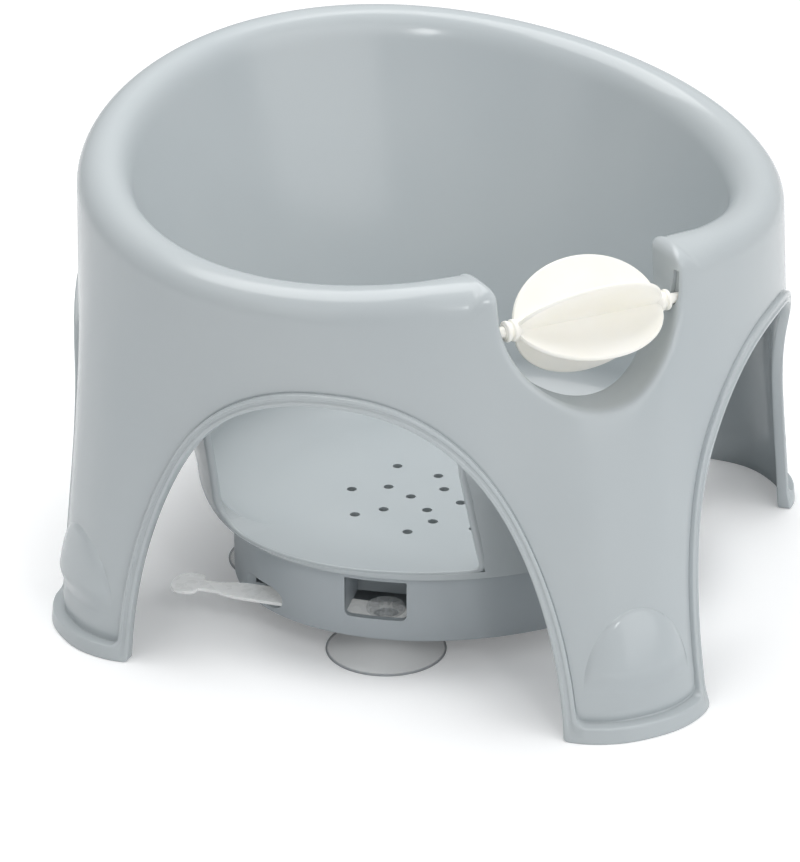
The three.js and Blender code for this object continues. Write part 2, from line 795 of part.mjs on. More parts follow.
function releaseLever(side) {
  const start = cupPlace(side, -1);
  const away = leverDirection(side);
  const eyeRadius = cupNeckRadius + leverPlay;
  const eyeOuter = eyeRadius + leverEyeWall;
  const half = leverWidth / 2;
  const neckAt = leverReach - leverEarLength - leverNeckWidth;
  const shape = new THREE.Shape();
  const eyeTurn = Math.asin(half / eyeOuter);
  shape.absarc(0, 0, eyeOuter, eyeTurn, tau - eyeTurn, false);
  shape.lineTo(neckAt - leverWidth, -half);
  shape.quadraticCurveTo(neckAt - half, -half, neckAt, -leverNeckWidth / 2);
  shape.lineTo(leverReach - leverEarLength, -leverNeckWidth / 2);
  const earHalf = leverEarWidth / 2;
  const earStart = leverReach - leverEarLength;
  shape.quadraticCurveTo(earStart, -earHalf, earStart + leverEarLength / 2, -earHalf);
  shape.quadraticCurveTo(leverReach, -earHalf, leverReach, 0);
  shape.quadraticCurveTo(leverReach, earHalf, earStart + leverEarLength / 2, earHalf);
  shape.quadraticCurveTo(earStart, earHalf, earStart, leverNeckWidth / 2);
  shape.lineTo(neckAt, leverNeckWidth / 2);
  shape.quadraticCurveTo(neckAt - half, half, neckAt - leverWidth, half);
  const eye = new THREE.Path();
  eye.absarc(0, 0, eyeRadius, 0, tau, true);
  shape.holes.push(eye);
  const thick = { depth: leverThickness, bevelEnabled: false, curveSegments: leverCurveSegments };
  const body = new THREE.ExtrudeGeometry(shape, thick);
  body.rotateZ(Math.atan2(away.y, away.x));
  body.translate(start.x, start.y, leverBottom);
  return body;
}

// Play roller

// Where the roller's hubs end, clear of the notch's sides at the hubs' lowest edge
function hubEnd() {
  const below = notchHeight - axleHeight + hubRadius;
  return Math.sqrt(notchRadius ** 2 - below ** 2) - hubPlay;
}

// Half-thickness of a fin and the valley between fins, as one outline about the axle
function rollerRing(x, reach) {
  const core = Math.min(rollerCore, reach);
  const half = finThickness / 2;
  const ring = [];
  const step = tau / finCount;
  const radii = [core + half, mix(core + half, reach, 1 / 2), reach];
  for (let fin = 0; fin < finCount; fin++) {
    const centre = finPhase * deg + fin * step;
    const place = (turn, radius) => ring.push(new THREE.Vector3(
      x, axleY - radius * Math.cos(turn), axleHeight + radius * Math.sin(turn)));
    place(centre - step / 2, core);
    for (const radius of radii) place(centre - Math.asin(Math.min(half / radius, 1 / 2)), radius);
    for (const radius of radii.slice().reverse()) {
      place(centre + Math.asin(Math.min(half / radius, 1 / 2)), radius);
    }
  }
  return ring;
}

function playRoller() {
  const rings = [];
  const rows = rollerRows;
  for (let i = 0; i <= rows; i++) {
    const turn = Math.PI * i / rows;
    const reach = Math.max(rollerRadius * Math.sin(turn), hubRadius);
    rings.push(rollerRing(-rollerHalfLength * Math.cos(turn), reach));
  }
  let body = solidFrom(stackedRings(rings));
  for (const side of [-1, 1]) {
    const hubStart = rollerHalfLength - overrun;
    const hubLength = hubEnd() - hubStart;
    const hubPlace = new THREE.Vector3(side * (hubStart + hubLength / 2), axleY, axleHeight);
    const pinPlace = new THREE.Vector3(side * hubEnd(), axleY, axleHeight);
    body = body.add(solidFrom(cylinderAlong(acrossX, hubRadius, hubLength, boreSegments, hubPlace)));
    body = body.add(solidFrom(cylinderAlong(acrossX, pinRadius, 2 * pinLength, boreSegments, pinPlace)));
  }
  return geometryFrom(body);
}

// Assembly

const seat = new THREE.Group();
const columns = shellColumns();
addPiece(seat, 'outer_shell', outerShell(columns), colors.grey, 0.25);
addPiece(seat, 'seat_bowl', seatBowl(columns), colors.grey, 0.25);
addPiece(seat, 'base_drum', baseDrum(), colors.grey, 0.35);
addPiece(seat, 'base_plate', basePlate(), colors.grey, 0.45);
addPiece(seat, 'play_roller', playRoller(), colors.cream, 0.4);

['front', 'right', 'back', 'left'].forEach((name, i) => {
  const screw = addPiece(seat, `base_screw_${name}`, baseScrew(), colors.steel, 0.3, 1);
  screw.position.copy(atBase(tau * i / 4, screwInset, 0));
});

for (const [name, side, end] of [
  ['front_left', -1, -1], ['front_right', 1, -1], ['rear_left', -1, 1], ['rear_right', 1, 1],
]) {
  const cup = addPiece(seat, `suction_cup_${name}`, suctionCup(), colors.clear, 0.3);
  cup.position.copy(cupPlace(side, end));
}
for (const [name, side] of [['left', -1], ['right', 1]]) {
  addPiece(seat, `release_lever_${name}`, releaseLever(side), colors.clear, 0.3);
}

export default seat;
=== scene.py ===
import bpy
import bmesh
import math
import numpy as np
from mathutils import Matrix, Vector


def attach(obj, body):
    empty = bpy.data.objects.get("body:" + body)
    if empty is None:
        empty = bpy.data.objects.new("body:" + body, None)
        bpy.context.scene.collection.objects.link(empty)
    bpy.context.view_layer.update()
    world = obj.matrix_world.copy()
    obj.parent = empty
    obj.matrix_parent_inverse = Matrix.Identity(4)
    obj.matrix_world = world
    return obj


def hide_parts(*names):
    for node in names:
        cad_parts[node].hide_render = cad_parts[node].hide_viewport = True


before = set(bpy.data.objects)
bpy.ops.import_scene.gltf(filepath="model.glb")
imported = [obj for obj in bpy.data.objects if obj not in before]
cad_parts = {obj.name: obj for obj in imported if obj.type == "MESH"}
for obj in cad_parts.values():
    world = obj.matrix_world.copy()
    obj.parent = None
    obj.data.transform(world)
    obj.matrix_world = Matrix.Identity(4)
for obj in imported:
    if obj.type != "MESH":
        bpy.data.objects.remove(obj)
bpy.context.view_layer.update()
mm = 0.001
deg = math.pi / 180
tau = 2 * math.pi
print("packed model loaded:", len(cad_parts), "nodes")


# Plan of the base and its cups, which a finish follows too; millimetres

baseOval = (103, 109, 62)               # half width, reach to the front, reach to the back
baseY = (baseOval[2] - baseOval[1]) / 2
baseHalfDepth = (baseOval[1] + baseOval[2]) / 2
cupPlan = {"side": 62, "forward": 49.5, "radius": 26}


# Helpers for objects and node trees

def linkObject(name, data, *materials):
    piece = bpy.data.objects.new(name, data)
    bpy.context.scene.collection.objects.link(piece)
    if materials:
        data.materials.clear()
    for material in materials:
        data.materials.append(material)
    return piece


def discard(piece):
    bpy.data.objects.remove(piece, do_unlink=True)


def addNode(tree, kind, inputs=(), **settings):
    # each input takes the socket that feeds it, or a plain value
    node = tree.nodes.new(kind)
    for key, value in settings.items():
        setattr(node, key, value)
    for key, value in dict(inputs).items():
        if isinstance(value, bpy.types.NodeSocket):
            tree.links.new(value, node.inputs[key])
        else:
            node.inputs[key].default_value = value
    return node.outputs


def emptyTree(owner):
    owner.use_nodes = True
    owner.node_tree.nodes.clear()
    return owner.node_tree


def seenByCamera(tree):
    # 1 for rays from the camera, also through clear pieces
    rays = addNode(tree, "ShaderNodeLightPath")
    either = {0: rays["Is Camera Ray"], 1: rays["Is Transmission Ray"]}
    return addNode(tree, "ShaderNodeMath", either, operation="MAXIMUM")[0]


# Studio: camera at the photograph's angle, soft lamps, pale floor

studio = {
    "yaw": -27.1, "pitch": 24.26,       # degrees
    "lens": 158.7, "sensor": 36.0,      # mm
    "distance": 1.6889,                 # metres from the target
    "target": (-0.01424, 0.00729, 0.0601),
    "floorSize": 12.0, "floorColour": (0.90, 0.905, 0.91), "floorGlow": 0.17,
    # the room is darker at the left, for the shading in the photograph
    "ambient": (0.36, 1.0), "toTheRight": (0.89, -0.456, 0),
    # and has a darker band above eye height: place from straight down to straight up, colour
    "roomBands": ((0.42, (0.80, 0.80, 0.80)), (0.60, (0.52, 0.54, 0.56)), (1.0, (1.0, 1.0, 1.0))),
}

lamps = {
    # place, what it points at, width and height in metres, watts
    "topSoftbox": ((-0.1, 0.3, 1.55), (0, 0, 0.1), 1.5, 1.1, 16.8),
    "leftSoftbox": ((-1.5, -0.7, 0.95), (0, 0, 0.1), 0.7, 1.0, 1.0),
    "rightFill": ((0.85, -1.7, 0.95), (0, 0, 0.1), 1.5, 1.4, 8.2),
    "smallWindow": ((-0.25, -1.7, 1.25), (0, 0, 0.1), 0.22, 0.3, 2.8),
}


def placeCamera():
    yaw = studio["yaw"] * deg
    pitch = studio["pitch"] * deg
    back = Vector((math.sin(yaw) * math.cos(pitch), -math.cos(yaw) * math.cos(pitch), math.sin(pitch)))
    cameraData = bpy.data.cameras.new("photoCamera")
    cameraData.lens = studio["lens"]
    cameraData.sensor_width = studio["sensor"]
    cameraData.clip_start = 0.05
    cameraData.clip_end = 60
    camera = linkObject("photoCamera", cameraData)
    camera.location = Vector(studio["target"]) + back * studio["distance"]
    camera.rotation_euler = back.to_track_quat("Z", "Y").to_euler()
    bpy.context.scene.camera = camera


def placeLamps():
    for name, (place, aim, width, height, watts) in lamps.items():
        lampData = bpy.data.lights.new(name, "AREA")
        lampData.shape = "RECTANGLE"
        lampData.size = width
        lampData.size_y = height
        lampData.energy = watts
        lamp = linkObject(name, lampData)
        lamp.location = place
        lamp.rotation_euler = (Vector(place) - Vector(aim)).to_track_quat("Z", "Y").to_euler()


def lightWorld():
    world = bpy.data.worlds.new("paleRoom")
    bpy.context.scene.world = world
    tree = emptyTree(world)
    direction = addNode(tree, "ShaderNodeTexCoord")["Generated"]
    height = addNode(tree, "ShaderNodeSeparateXYZ", {0: direction})["Z"]
    lift = addNode(tree, "ShaderNodeMapRange", {"Value": height, "From Min": -1})["Result"]
    ramp = tree.nodes.new("ShaderNodeValToRGB")
    tree.links.new(lift, ramp.inputs["Fac"])
    bands = ramp.color_ramp.elements
    bands.new(0.5)
    for band, (place, colour) in zip(bands, studio["roomBands"]):
        band.position = place
        band.color = (*colour, 1)
    sideways = {0: direction, 1: studio["toTheRight"]}
    across = addNode(tree, "ShaderNodeVectorMath", sideways, operation="DOT_PRODUCT")["Value"]
    low, high = studio["ambient"]
    strength = addNode(tree, "ShaderNodeMapRange", {
        "Value": across, "From Min": -1, "To Min": low, "To Max": high,
    })["Result"]
    room = addNode(tree, "ShaderNodeBackground", {"Color": ramp.outputs["Color"], "Strength": strength})[0]
    white = addNode(tree, "ShaderNodeBackground", {"Strength": 1.0})[0]
    blend = addNode(tree, "ShaderNodeMixShader", {"Fac": seenByCamera(tree), 1: room, 2: white})[0]
    addNode(tree, "ShaderNodeOutputWorld", {"Surface": blend})


def layFloor():
    half = studio["floorSize"] / 2
    mesh = bpy.data.meshes.new("paleFloor")
    corners = [(-half, -half, 0), (half, -half, 0), (half, half, 0), (-half, half, 0)]
    mesh.from_pydata(corners, [], [(0, 1, 2, 3)])
    material = bpy.data.materials.new("paleFloor")
    tree = emptyTree(material)
    matte = addNode(tree, "ShaderNodeBsdfDiffuse", {"Color": (*studio["floorColour"], 1)})[0]
    shown = {0: seenByCamera(tree), 1: studio["floorGlow"]}
    strength = addNode(tree, "ShaderNodeMath", shown, operation="MULTIPLY")[0]
    glow = addNode(tree, "ShaderNodeEmission", {"Strength": strength})[0]
    total = addNode(tree, "ShaderNodeAddShader", {0: matte, 1: glow})[0]
    addNode(tree, "ShaderNodeOutputMaterial", {"Surface": total})
    floor = linkObject("paleFloor", mesh, material)


placeCamera()
placeLamps()
lightWorld()
layFloor()
print("studio ready")


# Finishes

def paint(red, green, blue):
    values = [red / 255, green / 255, blue / 255]
    return (*[v / 12.92 if v <= 0.04045 else ((v + 0.055) / 1.055) ** 2.4 for v in values], 1)


def newMaterial(name, inputsOf, finish):
    material = bpy.data.materials.new(name)
    tree = emptyTree(material)
    shader = addNode(tree, "ShaderNodeBsdfPrincipled", inputsOf(tree, finish))[0]
    addNode(tree, "ShaderNodeOutputMaterial", {"Surface": shader})
    return material


def addNoise(tree, scale, detail=2.0, stretch=(1, 1, 1)):
    place = addNode(tree, "ShaderNodeTexCoord")["Object"]
    mapped = addNode(tree, "ShaderNodeMapping", {"Vector": place, "Scale": stretch})[0]
    return addNode(tree, "ShaderNodeTexNoise", {"Vector": mapped, "Scale": scale, "Detail": detail})["Fac"]


def spreadValue(tree, source, low, high):
    # noise keeps near its middle, so that part is spread from low to high
    return addNode(tree, "ShaderNodeMapRange", {
        "Value": source, "From Min": 0.3, "From Max": 0.7, "To Min": low, "To Max": high,
    })["Result"]


def mixColours(tree, source, first, second):
    inputs = {"Factor": source, "A": paint(*first), "B": paint(*second)}
    return addNode(tree, "ShaderNodeMix", inputs, data_type="RGBA")["Result"]


def addBump(tree, *layers):
    below = {}
    for source, depth, strength in layers:
        inputs = {"Height": source, "Distance": depth * mm, "Strength": strength, **below}
        below = {"Normal": addNode(tree, "ShaderNodeBump", inputs)[0]}
    return below


def mouldedPlastic(tree, finish):
    clouds = spreadValue(tree, addNoise(tree, finish["cloudScale"]), 0.0, 1.0)
    satin = addNoise(tree, finish["satinScale"], 3.0)
    flow = addNoise(tree, finish["flowScale"], 1.0, (1, 1, 0.45))
    grain = addNoise(tree, finish["grainScale"], 4.0)
    return {
        "Base Color": mixColours(tree, clouds, finish["colour"], finish["deepColour"]),
        "Roughness": spreadValue(tree, satin, *finish["roughness"]), "IOR": finish["ior"],
        **addBump(tree, (flow, finish["flowDepth"], 0.35), (grain, finish["grainDepth"], 0.25)),
        **finish.get("depth", {}),
    }


greyGloss = {
    "colour": (186, 192, 194), "deepColour": (181, 188, 191), "cloudScale": 9.0,
    "roughness": (0.15, 0.21), "satinScale": 60.0, "ior": 1.5,
    "grainScale": 1500.0, "grainDepth": 0.02, "flowScale": 16.0, "flowDepth": 1.2,
}
greySatin = {
    "colour": (174, 181, 185), "deepColour": (170, 177, 181), "cloudScale": 14.0,
    "roughness": (0.34, 0.44), "satinScale": 90.0, "ior": 1.48,
    "grainScale": 2200.0, "grainDepth": 0.04, "flowScale": 22.0, "flowDepth": 0.5,
}
creamMatte = {
    "colour": (251, 249, 243), "deepColour": (247, 244, 234), "cloudScale": 30.0,
    "roughness": (0.36, 0.46), "satinScale": 140.0, "ior": 1.46,
    "grainScale": 2500.0, "grainDepth": 0.03, "flowScale": 40.0, "flowDepth": 0.3,
    "depth": {"Subsurface Weight": 0.12, "Subsurface Radius": (1.0, 0.9, 0.7), "Subsurface Scale": 0.004},
}
cupFinish = {
    "colour": (238, 240, 240), "alpha": 0.28, "roughness": (0.08, 0.16), "ior": 1.45,
    "satinScale": 180.0, "flowScale": 60.0, "flowDepth": 0.4,
    # the cups' thick edges stand out as a darker ring, between two distances inside the edge
    "ring": (1.1, 0.4), "ringAlpha": 0.72, "ringColour": (150, 156, 160),
}
# the glow stands for the light that a clear strap gathers
leverFinish = {
    "colour": (250, 251, 250), "alpha": 0.5, "roughness": (0.22, 0.34), "ior": 1.49, "glow": 0.17,
    "satinScale": 220.0, "grainScale": 900.0, "grainDepth": 0.05,
}
steelFinish = {
    "colour": (196, 198, 202), "deepColour": (170, 172, 176), "roughness": (0.22, 0.36),
    "brushScale": 700.0, "brushDepth": 0.02,
}


def cupEdge(tree, ring):
    # 1 at a cup's outer edge, 0 inside it: all four cups mirror onto one place
    value = addNode(tree, "ShaderNodeTexCoord")["Object"]
    for operation, other in (
        ("SUBTRACT", (0, baseY * mm, 0)), ("MULTIPLY", (1, 1, 0)), ("ABSOLUTE", (0, 0, 0)),
        ("SUBTRACT", (cupPlan["side"] * mm, cupPlan["forward"] * mm, 0)),
    ):
        value = addNode(tree, "ShaderNodeVectorMath", {0: value, 1: other}, operation=operation)[0]
    reach = addNode(tree, "ShaderNodeVectorMath", {0: value}, operation="LENGTH")["Value"]
    start, end = ((cupPlan["radius"] - inside) * mm for inside in ring)
    return addNode(tree, "ShaderNodeMapRange", {"Value": reach, "From Min": start, "From Max": end})["Result"]


def clearRubberInputs(tree, finish):
    edge = cupEdge(tree, finish["ring"])
    return {
        "Base Color": mixColours(tree, edge, finish["colour"], finish["ringColour"]),
        "Alpha": spreadValue(tree, edge, finish["alpha"], finish["ringAlpha"]), "IOR": finish["ior"],
        "Roughness": spreadValue(tree, addNoise(tree, finish["satinScale"]), *finish["roughness"]),
        **addBump(tree, (addNoise(tree, finish["flowScale"], 1.0), finish["flowDepth"], 0.2)),
    }


def clearPlasticInputs(tree, finish):
    colour = paint(*finish["colour"])
    return {
        "Base Color": colour, "Alpha": finish["alpha"], "IOR": finish["ior"],
        "Emission Color": colour, "Emission Strength": finish["glow"],
        "Roughness": spreadValue(tree, addNoise(tree, finish["satinScale"], 3.0), *finish["roughness"]),
        **addBump(tree, (addNoise(tree, finish["grainScale"]), finish["grainDepth"], 0.3)),
    }


def screwSteelInputs(tree, finish):
    brushed = addNoise(tree, finish["brushScale"], 3.0, (1, 1, 8))
    return {
        "Metallic": 1.0, "Base Color": mixColours(tree, brushed, finish["colour"], finish["deepColour"]),
        "Roughness": spreadValue(tree, brushed, *finish["roughness"]),
        **addBump(tree, (brushed, finish["brushDepth"], 0.3)),
    }


glossGrey = newMaterial("glossGrey", mouldedPlastic, greyGloss)
satinGrey = newMaterial("satinGrey", mouldedPlastic, greySatin)
creamPlastic = newMaterial("creamPlastic", mouldedPlastic, creamMatte)
clearRubber = newMaterial("clearRubber", clearRubberInputs, cupFinish)
frostedPlastic = newMaterial("frostedPlastic", clearPlasticInputs, leverFinish)
screwSteel = newMaterial("screwSteel", screwSteelInputs, steelFinish)
print("finishes ready")


# Shape functions of the azimuth, 0 at the front, growing toward +X; millimetres

plan = {
    "sideReach": 182, "frontReach": 194, "backReach": 194, "footHalfWidth": 35,
    "frontCrown": 16.5, "sideCrown": 21, "backCrown": 18, "crownHalfWidth": 70,
    "ledgeProud": 4,
}
rim = {
    "oval": (143, 128, 136),            # half width, reach to the front, reach to the back
    "roll": 12, "crestFront": 187, "crestDip": 180, "crestBack": 216, "dipAngle": 57,
}
bowl = {
    "oval": (113, 109, 76), "wall": 3, "fillet": 17, "floorInset": 12, "floorLip": 3,
    "floorBottom": 42.3, "floorThickness": 3,
    "filletRows": 14, "wallRows": 44, "outsideRows": 20,
}
floorTop = bowl["floorBottom"] + bowl["floorThickness"]
wallFoot = floorTop + bowl["fillet"]


def quarter(count):
    return np.linspace(0, np.pi / 2, count)


def mix(a, b, t):
    return a + (b - a) * t


def easeBetween(a, b, t):
    return mix(a, b, (1 - np.cos(np.pi * t)) / 2)


def smoothStep(t):
    t = np.clip(t, 0, 1)
    return t * t * (3 - 2 * t)


def unit(vectors):
    return vectors / np.linalg.norm(vectors, axis=-1, keepdims=True)


def pathLength(points):
    return np.concatenate([[0], np.cumsum(np.linalg.norm(np.diff(points, axis=0), axis=1))])


def foldAngle(angle):
    return np.abs(np.arctan2(np.sin(angle), np.cos(angle)))


def pointAt(angle, radius, z):
    places = np.broadcast_arrays(radius * np.sin(angle), -radius * np.cos(angle), z)
    return np.stack(places, axis=-1).astype(float)


def ovalPlan(angle, oval, offset=0.0):
    halfWidth = oval[0] + offset
    depth = (oval[1] + oval[2]) / 2 + offset
    shift = (oval[2] - oval[1]) / 2
    sine, cosine = np.sin(angle), np.cos(angle)
    a = (sine / halfWidth) ** 2 + (cosine / depth) ** 2
    b = 2 * cosine * shift / depth ** 2
    c = (shift / depth) ** 2 - 1
    return (np.sqrt(b * b - 4 * a * c) - b) / (2 * a)


def rimMiddleHeight(angle):
    fold = foldAngle(angle)
    dip = rim["dipAngle"] * deg
    front = easeBetween(rim["crestFront"], rim["crestDip"], np.minimum(fold / dip, 1))
    back = easeBetween(rim["crestDip"], rim["crestBack"], np.maximum((fold - dip) / (np.pi - dip), 0))
    return np.where(fold < dip, front, back) - rim["roll"]


def skirtPlan(angle):
    fold = foldAngle(angle)
    cosine = np.cos(angle)
    frontReach, backReach = (plan[end + "Reach"] - plan[end + "Crown"] for end in ("front", "back"))
    endReach = np.where(cosine > 0, frontReach, backReach)
    oval = mix(plan["sideReach"] - plan["sideCrown"], endReach, cosine ** 2) - plan["ledgeProud"]
    for centre, height, reach in (
        (0, plan["frontCrown"], plan["frontReach"]),
        (np.pi / 2, plan["sideCrown"], plan["sideReach"]),
        (np.pi, plan["backCrown"], plan["backReach"]),
    ):
        away = np.minimum(np.abs(fold - centre) * reach / plan["crownHalfWidth"], 1)
        oval = oval + height * (1 - away ** 3 * (away * (6 * away - 15) + 10))
    return oval


def skirtRadius(angle, z):
    top = rimMiddleHeight(angle)
    return mix(ovalPlan(angle, rim["oval"], rim["roll"]), skirtPlan(angle), (top - z) / top)


def bowlRadius(angle, z):
    top = rimMiddleHeight(angle)
    foot = ovalPlan(angle, bowl["oval"])
    plain = mix(foot, ovalPlan(angle, rim["oval"], -rim["roll"]), (z - wallFoot) / (top - wallFoot))
    lowest = notch["height"] - notch["radius"] - rim["roll"]
    highest = rim["crestFront"] - rim["roll"]
    land = mix(notch["landWidth"], 2 * rim["roll"], smoothStep((z - lowest) / (highest - lowest)))
    upward = smoothStep((z - notch["flareBottom"]) / (lowest - notch["flareBottom"]))
    fade = (notch["flareEnd"] - notch["flareStart"]) * deg
    sideways = (notch["flareEnd"] * deg - foldAngle(angle)) / fade
    return plain + (skirtRadius(angle, z) - land - plain) * upward * smoothStep(sideways)


def outward(radiusAt, angle, z):
    step = deg / 2
    before = pointAt(angle - step, radiusAt(angle - step, z), 0)
    after = pointAt(angle + step, radiusAt(angle + step, z), 0)
    along = unit(after - before)
    return np.stack([along[..., 1], -along[..., 0], np.zeros(along.shape[:-1])], axis=-1)


def onSurface(radiusAt, angle, z, offset=0.0):
    offset = np.asarray(offset, float)
    return pointAt(angle, radiusAt(angle, z), z) + outward(radiusAt, angle, z) * offset[..., None]


def angleAtX(x, z, radiusAt):
    angle = 0.0
    for _ in range(6):
        angle = np.arcsin(x / radiusAt(angle, z))
    return float(angle)


# Mesh helpers

def signedVolume(mesh):
    mesh.calc_loop_triangles()
    corners = np.empty(len(mesh.loop_triangles) * 3, np.int32)
    mesh.loop_triangles.foreach_get("vertices", corners)
    places = np.empty(len(mesh.vertices) * 3)
    mesh.vertices.foreach_get("co", places)
    a, b, c = places.reshape(-1, 3)[corners.reshape(-1, 3)].transpose(1, 0, 2)
    return float(np.einsum("ij,ij->i", a, np.cross(b, c)).sum())


def smoothShade(mesh, sharpAngle=33):
    mesh.shade_smooth()
    mesh.set_sharp_from_angle(angle=sharpAngle * deg)


def rework(mesh, others=(), weld=0.0, turnOut=True):
    # takes in other meshes, welds points nearer than a distance and turns the faces outward
    loose = bmesh.new()
    for source in (mesh, *others):
        loose.from_mesh(source)
    if weld:
        bmesh.ops.remove_doubles(loose, verts=loose.verts, dist=weld * mm)
    if turnOut:
        bmesh.ops.recalc_face_normals(loose, faces=loose.faces)
    loose.to_mesh(mesh)
    loose.free()


def meshFrom(name, points, faces, sharpAngle=33, weld=0.0):
    mesh = bpy.data.meshes.new(name)
    mesh.from_pydata((np.asarray(points, float) * mm).tolist(), [], faces)
    if weld:
        rework(mesh, weld=weld)
    if signedVolume(mesh) < 0:
        mesh.flip_normals()
    smoothShade(mesh, sharpAngle)
    return mesh


def ringFaces(rows, count, closed, first=0):
    faces = []
    for i in range(rows if closed else rows - 1):
        start, above = first + i * count, first + ((i + 1) % rows) * count
        for j in range(count):
            following = (j + 1) % count
            faces.append((start + j, start + following, above + following, above + j))
    return faces


def sweptLoop(name, sections, sharpAngle=33):
    rows, count = sections.shape[:2]
    return meshFrom(name, sections.reshape(-1, 3), ringFaces(rows, count, True), sharpAngle)


def stackedRings(name, rings, sharpAngle=33):
    rows, count = rings.shape[:2]
    points = [*rings.reshape(-1, 3), rings[0].mean(axis=0), rings[-1].mean(axis=0)]
    faces = ringFaces(rows, count, False)
    last = (rows - 1) * count
    for j in range(count):
        following = (j + 1) % count
        faces.append((rows * count, following, j))
        faces.append((rows * count + 1, last + j, last + following))
    return meshFrom(name, points, faces, sharpAngle)


def turnedProfile(name, profile, centre, segments, sharpAngle=33):
    turns = np.linspace(0, tau, segments, endpoint=False)
    radius, height = np.array(profile, float).T
    rings = np.stack([
        np.outer(radius, np.cos(turns)) + centre[0],
        np.outer(radius, np.sin(turns)) + centre[1],
        np.repeat(height[:, None], segments, axis=1) + centre[2],
    ], axis=-1)
    return stackedRings(name, rings[1:-1] if radius[0] == 0 and radius[-1] == 0 else rings, sharpAngle)


def chaikin(points, rounds):
    points = np.array(points, float)
    for _ in range(rounds):
        near = mix(points[:-1], points[1:], 0.25)
        far = mix(points[:-1], points[1:], 0.75)
        inner = np.stack([near, far], axis=1).reshape(-1, points.shape[1])
        points = np.concatenate([points[:1], inner, points[-1:]])
    return points


def evaluated(source):
    depsgraph = bpy.context.evaluated_depsgraph_get()
    return bpy.data.meshes.new_from_object(
        source.evaluated_get(depsgraph), preserve_all_data_layers=True, depsgraph=depsgraph)


def settle(piece):
    # the evaluated shape becomes the piece's own plain mesh
    made = evaluated(piece)
    piece.modifiers.clear()
    piece.data = made
    made.name = piece.name


def cutAway(piece, cutters, sharpAngle=33):
    for cutter in cutters:
        helper = linkObject("cutter", cutter)
        modifier = piece.modifiers.new("cut", "BOOLEAN")
        modifier.operation = "DIFFERENCE"
        modifier.solver = "MANIFOLD"
        modifier.object = helper
        settle(piece)
        discard(helper)
    smoothShade(piece.data, sharpAngle)


def loopCurve(name, dimensions, loops):
    # closed loops of points in metres, each with the points' radii
    curve = bpy.data.curves.new(name, "CURVE")
    curve.dimensions = dimensions
    for points, radii in loops:
        spline = curve.splines.new("POLY")
        spline.points.add(len(points) - 1)
        spline.use_cyclic_u = True
        for target, place, radius in zip(spline.points, points, radii):
            target.co = (*place, 1)
            target.radius = radius
    return linkObject(name, curve)


def curveMesh(source):
    mesh = evaluated(source)
    discard(source)
    return mesh


def realized(tree, geometry):
    return addNode(tree, "GeometryNodeRealizeInstances", {"Geometry": geometry})["Geometry"]


def addTree(piece, name, material, inputs, build):
    # inputs: label to socket kind and value; build returns the geometry that gets the material
    tree = bpy.data.node_groups.new(name, "GeometryNodeTree")
    for way in ("INPUT", "OUTPUT"):
        tree.interface.new_socket("Geometry", in_out=way, socket_type="NodeSocketGeometry")
    modifier = piece.modifiers.new(name, "NODES")
    given = {**inputs, "Material": ("Material", material)}
    identifiers = {
        label: tree.interface.new_socket(label, in_out="INPUT", socket_type="NodeSocket" + kind).identifier
        for label, (kind, _) in given.items()
    }
    start = addNode(tree, "NodeGroupInput")
    shape = {"Geometry": realized(tree, build(tree, start)), "Material": start["Material"]}
    finished = addNode(tree, "GeometryNodeSetMaterial", shape)["Geometry"]
    addNode(tree, "NodeGroupOutput", {"Geometry": finished})
    modifier.node_group = tree
    for label, (_, value) in given.items():
        modifier[identifiers[label]] = value


def growPiece(piece, *growth):
    addTree(piece, *growth)
    settle(piece)


def copiesOn(tree, inputs):
    return addNode(tree, "GeometryNodeInstanceOnPoints", inputs)["Instances"]


def shifted(tree, geometry, shift):
    inputs = {"Geometry": geometry, "Translation": shift}
    return addNode(tree, "GeometryNodeTransform", inputs)["Geometry"]


def pointsOf(tree, mesh):
    return addNode(tree, "GeometryNodeMeshToPoints", {"Mesh": mesh})["Points"]


def turnedCopies(axis):
    # copies of the piece, each one step further round the axis, welded where they meet
    def build(tree, start):
        index = addNode(tree, "GeometryNodeInputIndex")[0]
        steps = {0: index, 1: start["Step"], 2: start["Phase"]}
        angle = addNode(tree, "ShaderNodeMath", steps, operation="MULTIPLY_ADD")[0]
        spin = addNode(tree, "ShaderNodeCombineXYZ", {axis: angle})[0]
        dots = addNode(tree, "GeometryNodePoints", {"Count": start["Count"]})["Points"]
        copies = copiesOn(tree, {"Points": dots, "Instance": start["Geometry"], "Rotation": spin})
        placed = realized(tree, shifted(tree, copies, start["Centre"]))
        welded = {"Geometry": placed, "Distance": 0.004 * mm}
        return addNode(tree, "GeometryNodeMergeByDistance", welded)["Geometry"]
    return build


def turnedInputs(count, centre, phase=0.0):
    return {
        "Count": ("Int", count), "Step": ("Float", tau / count), "Phase": ("Float", phase),
        "Centre": ("Vector", tuple(centre)),
    }


# Outer shell: rolled rim, skirt with four arches, four feet

shell = {
    "wall": 3, "archHeight": 135, "archPower": 2.25,
    "beadWidth": 5, "beadProud": 2, "ledgeHeight": 6.5,
    "footCorner": 1.6, "bandCorner": 3.5, "bandGroove": 0.5, "edgeRound": 0.8,
    "archColumns": 139, "footColumns": 11, "sideFootColumns": 24,
    "notchColumns": 48, "straightColumns": 6, "cornerColumns": 12,
    # degrees of swing, the column where it begins and how many it grows over, the column where it fades
    # (the high one at the notch's last) and how many it fades over
    "lowSwing": (8, 0, 20, 38, 14), "highSwing": (10, 30, 26, 34),
    # share of the wall's height and depth of the fine groove over the ledge, shallower along the arches
    "groove": ((0.0, -1.0), (0.006, -1.2), (0.014, -0.7)), "grooveAtArch": 0.25, "wallStart": 0.02,
    "wallRows": 38, "rollRows": 30, "underRows": 10, "insideRows": 12,
    "wallCrowding": 1.25, "rollCrowding": 0.55, "leanSharpness": 4,
}
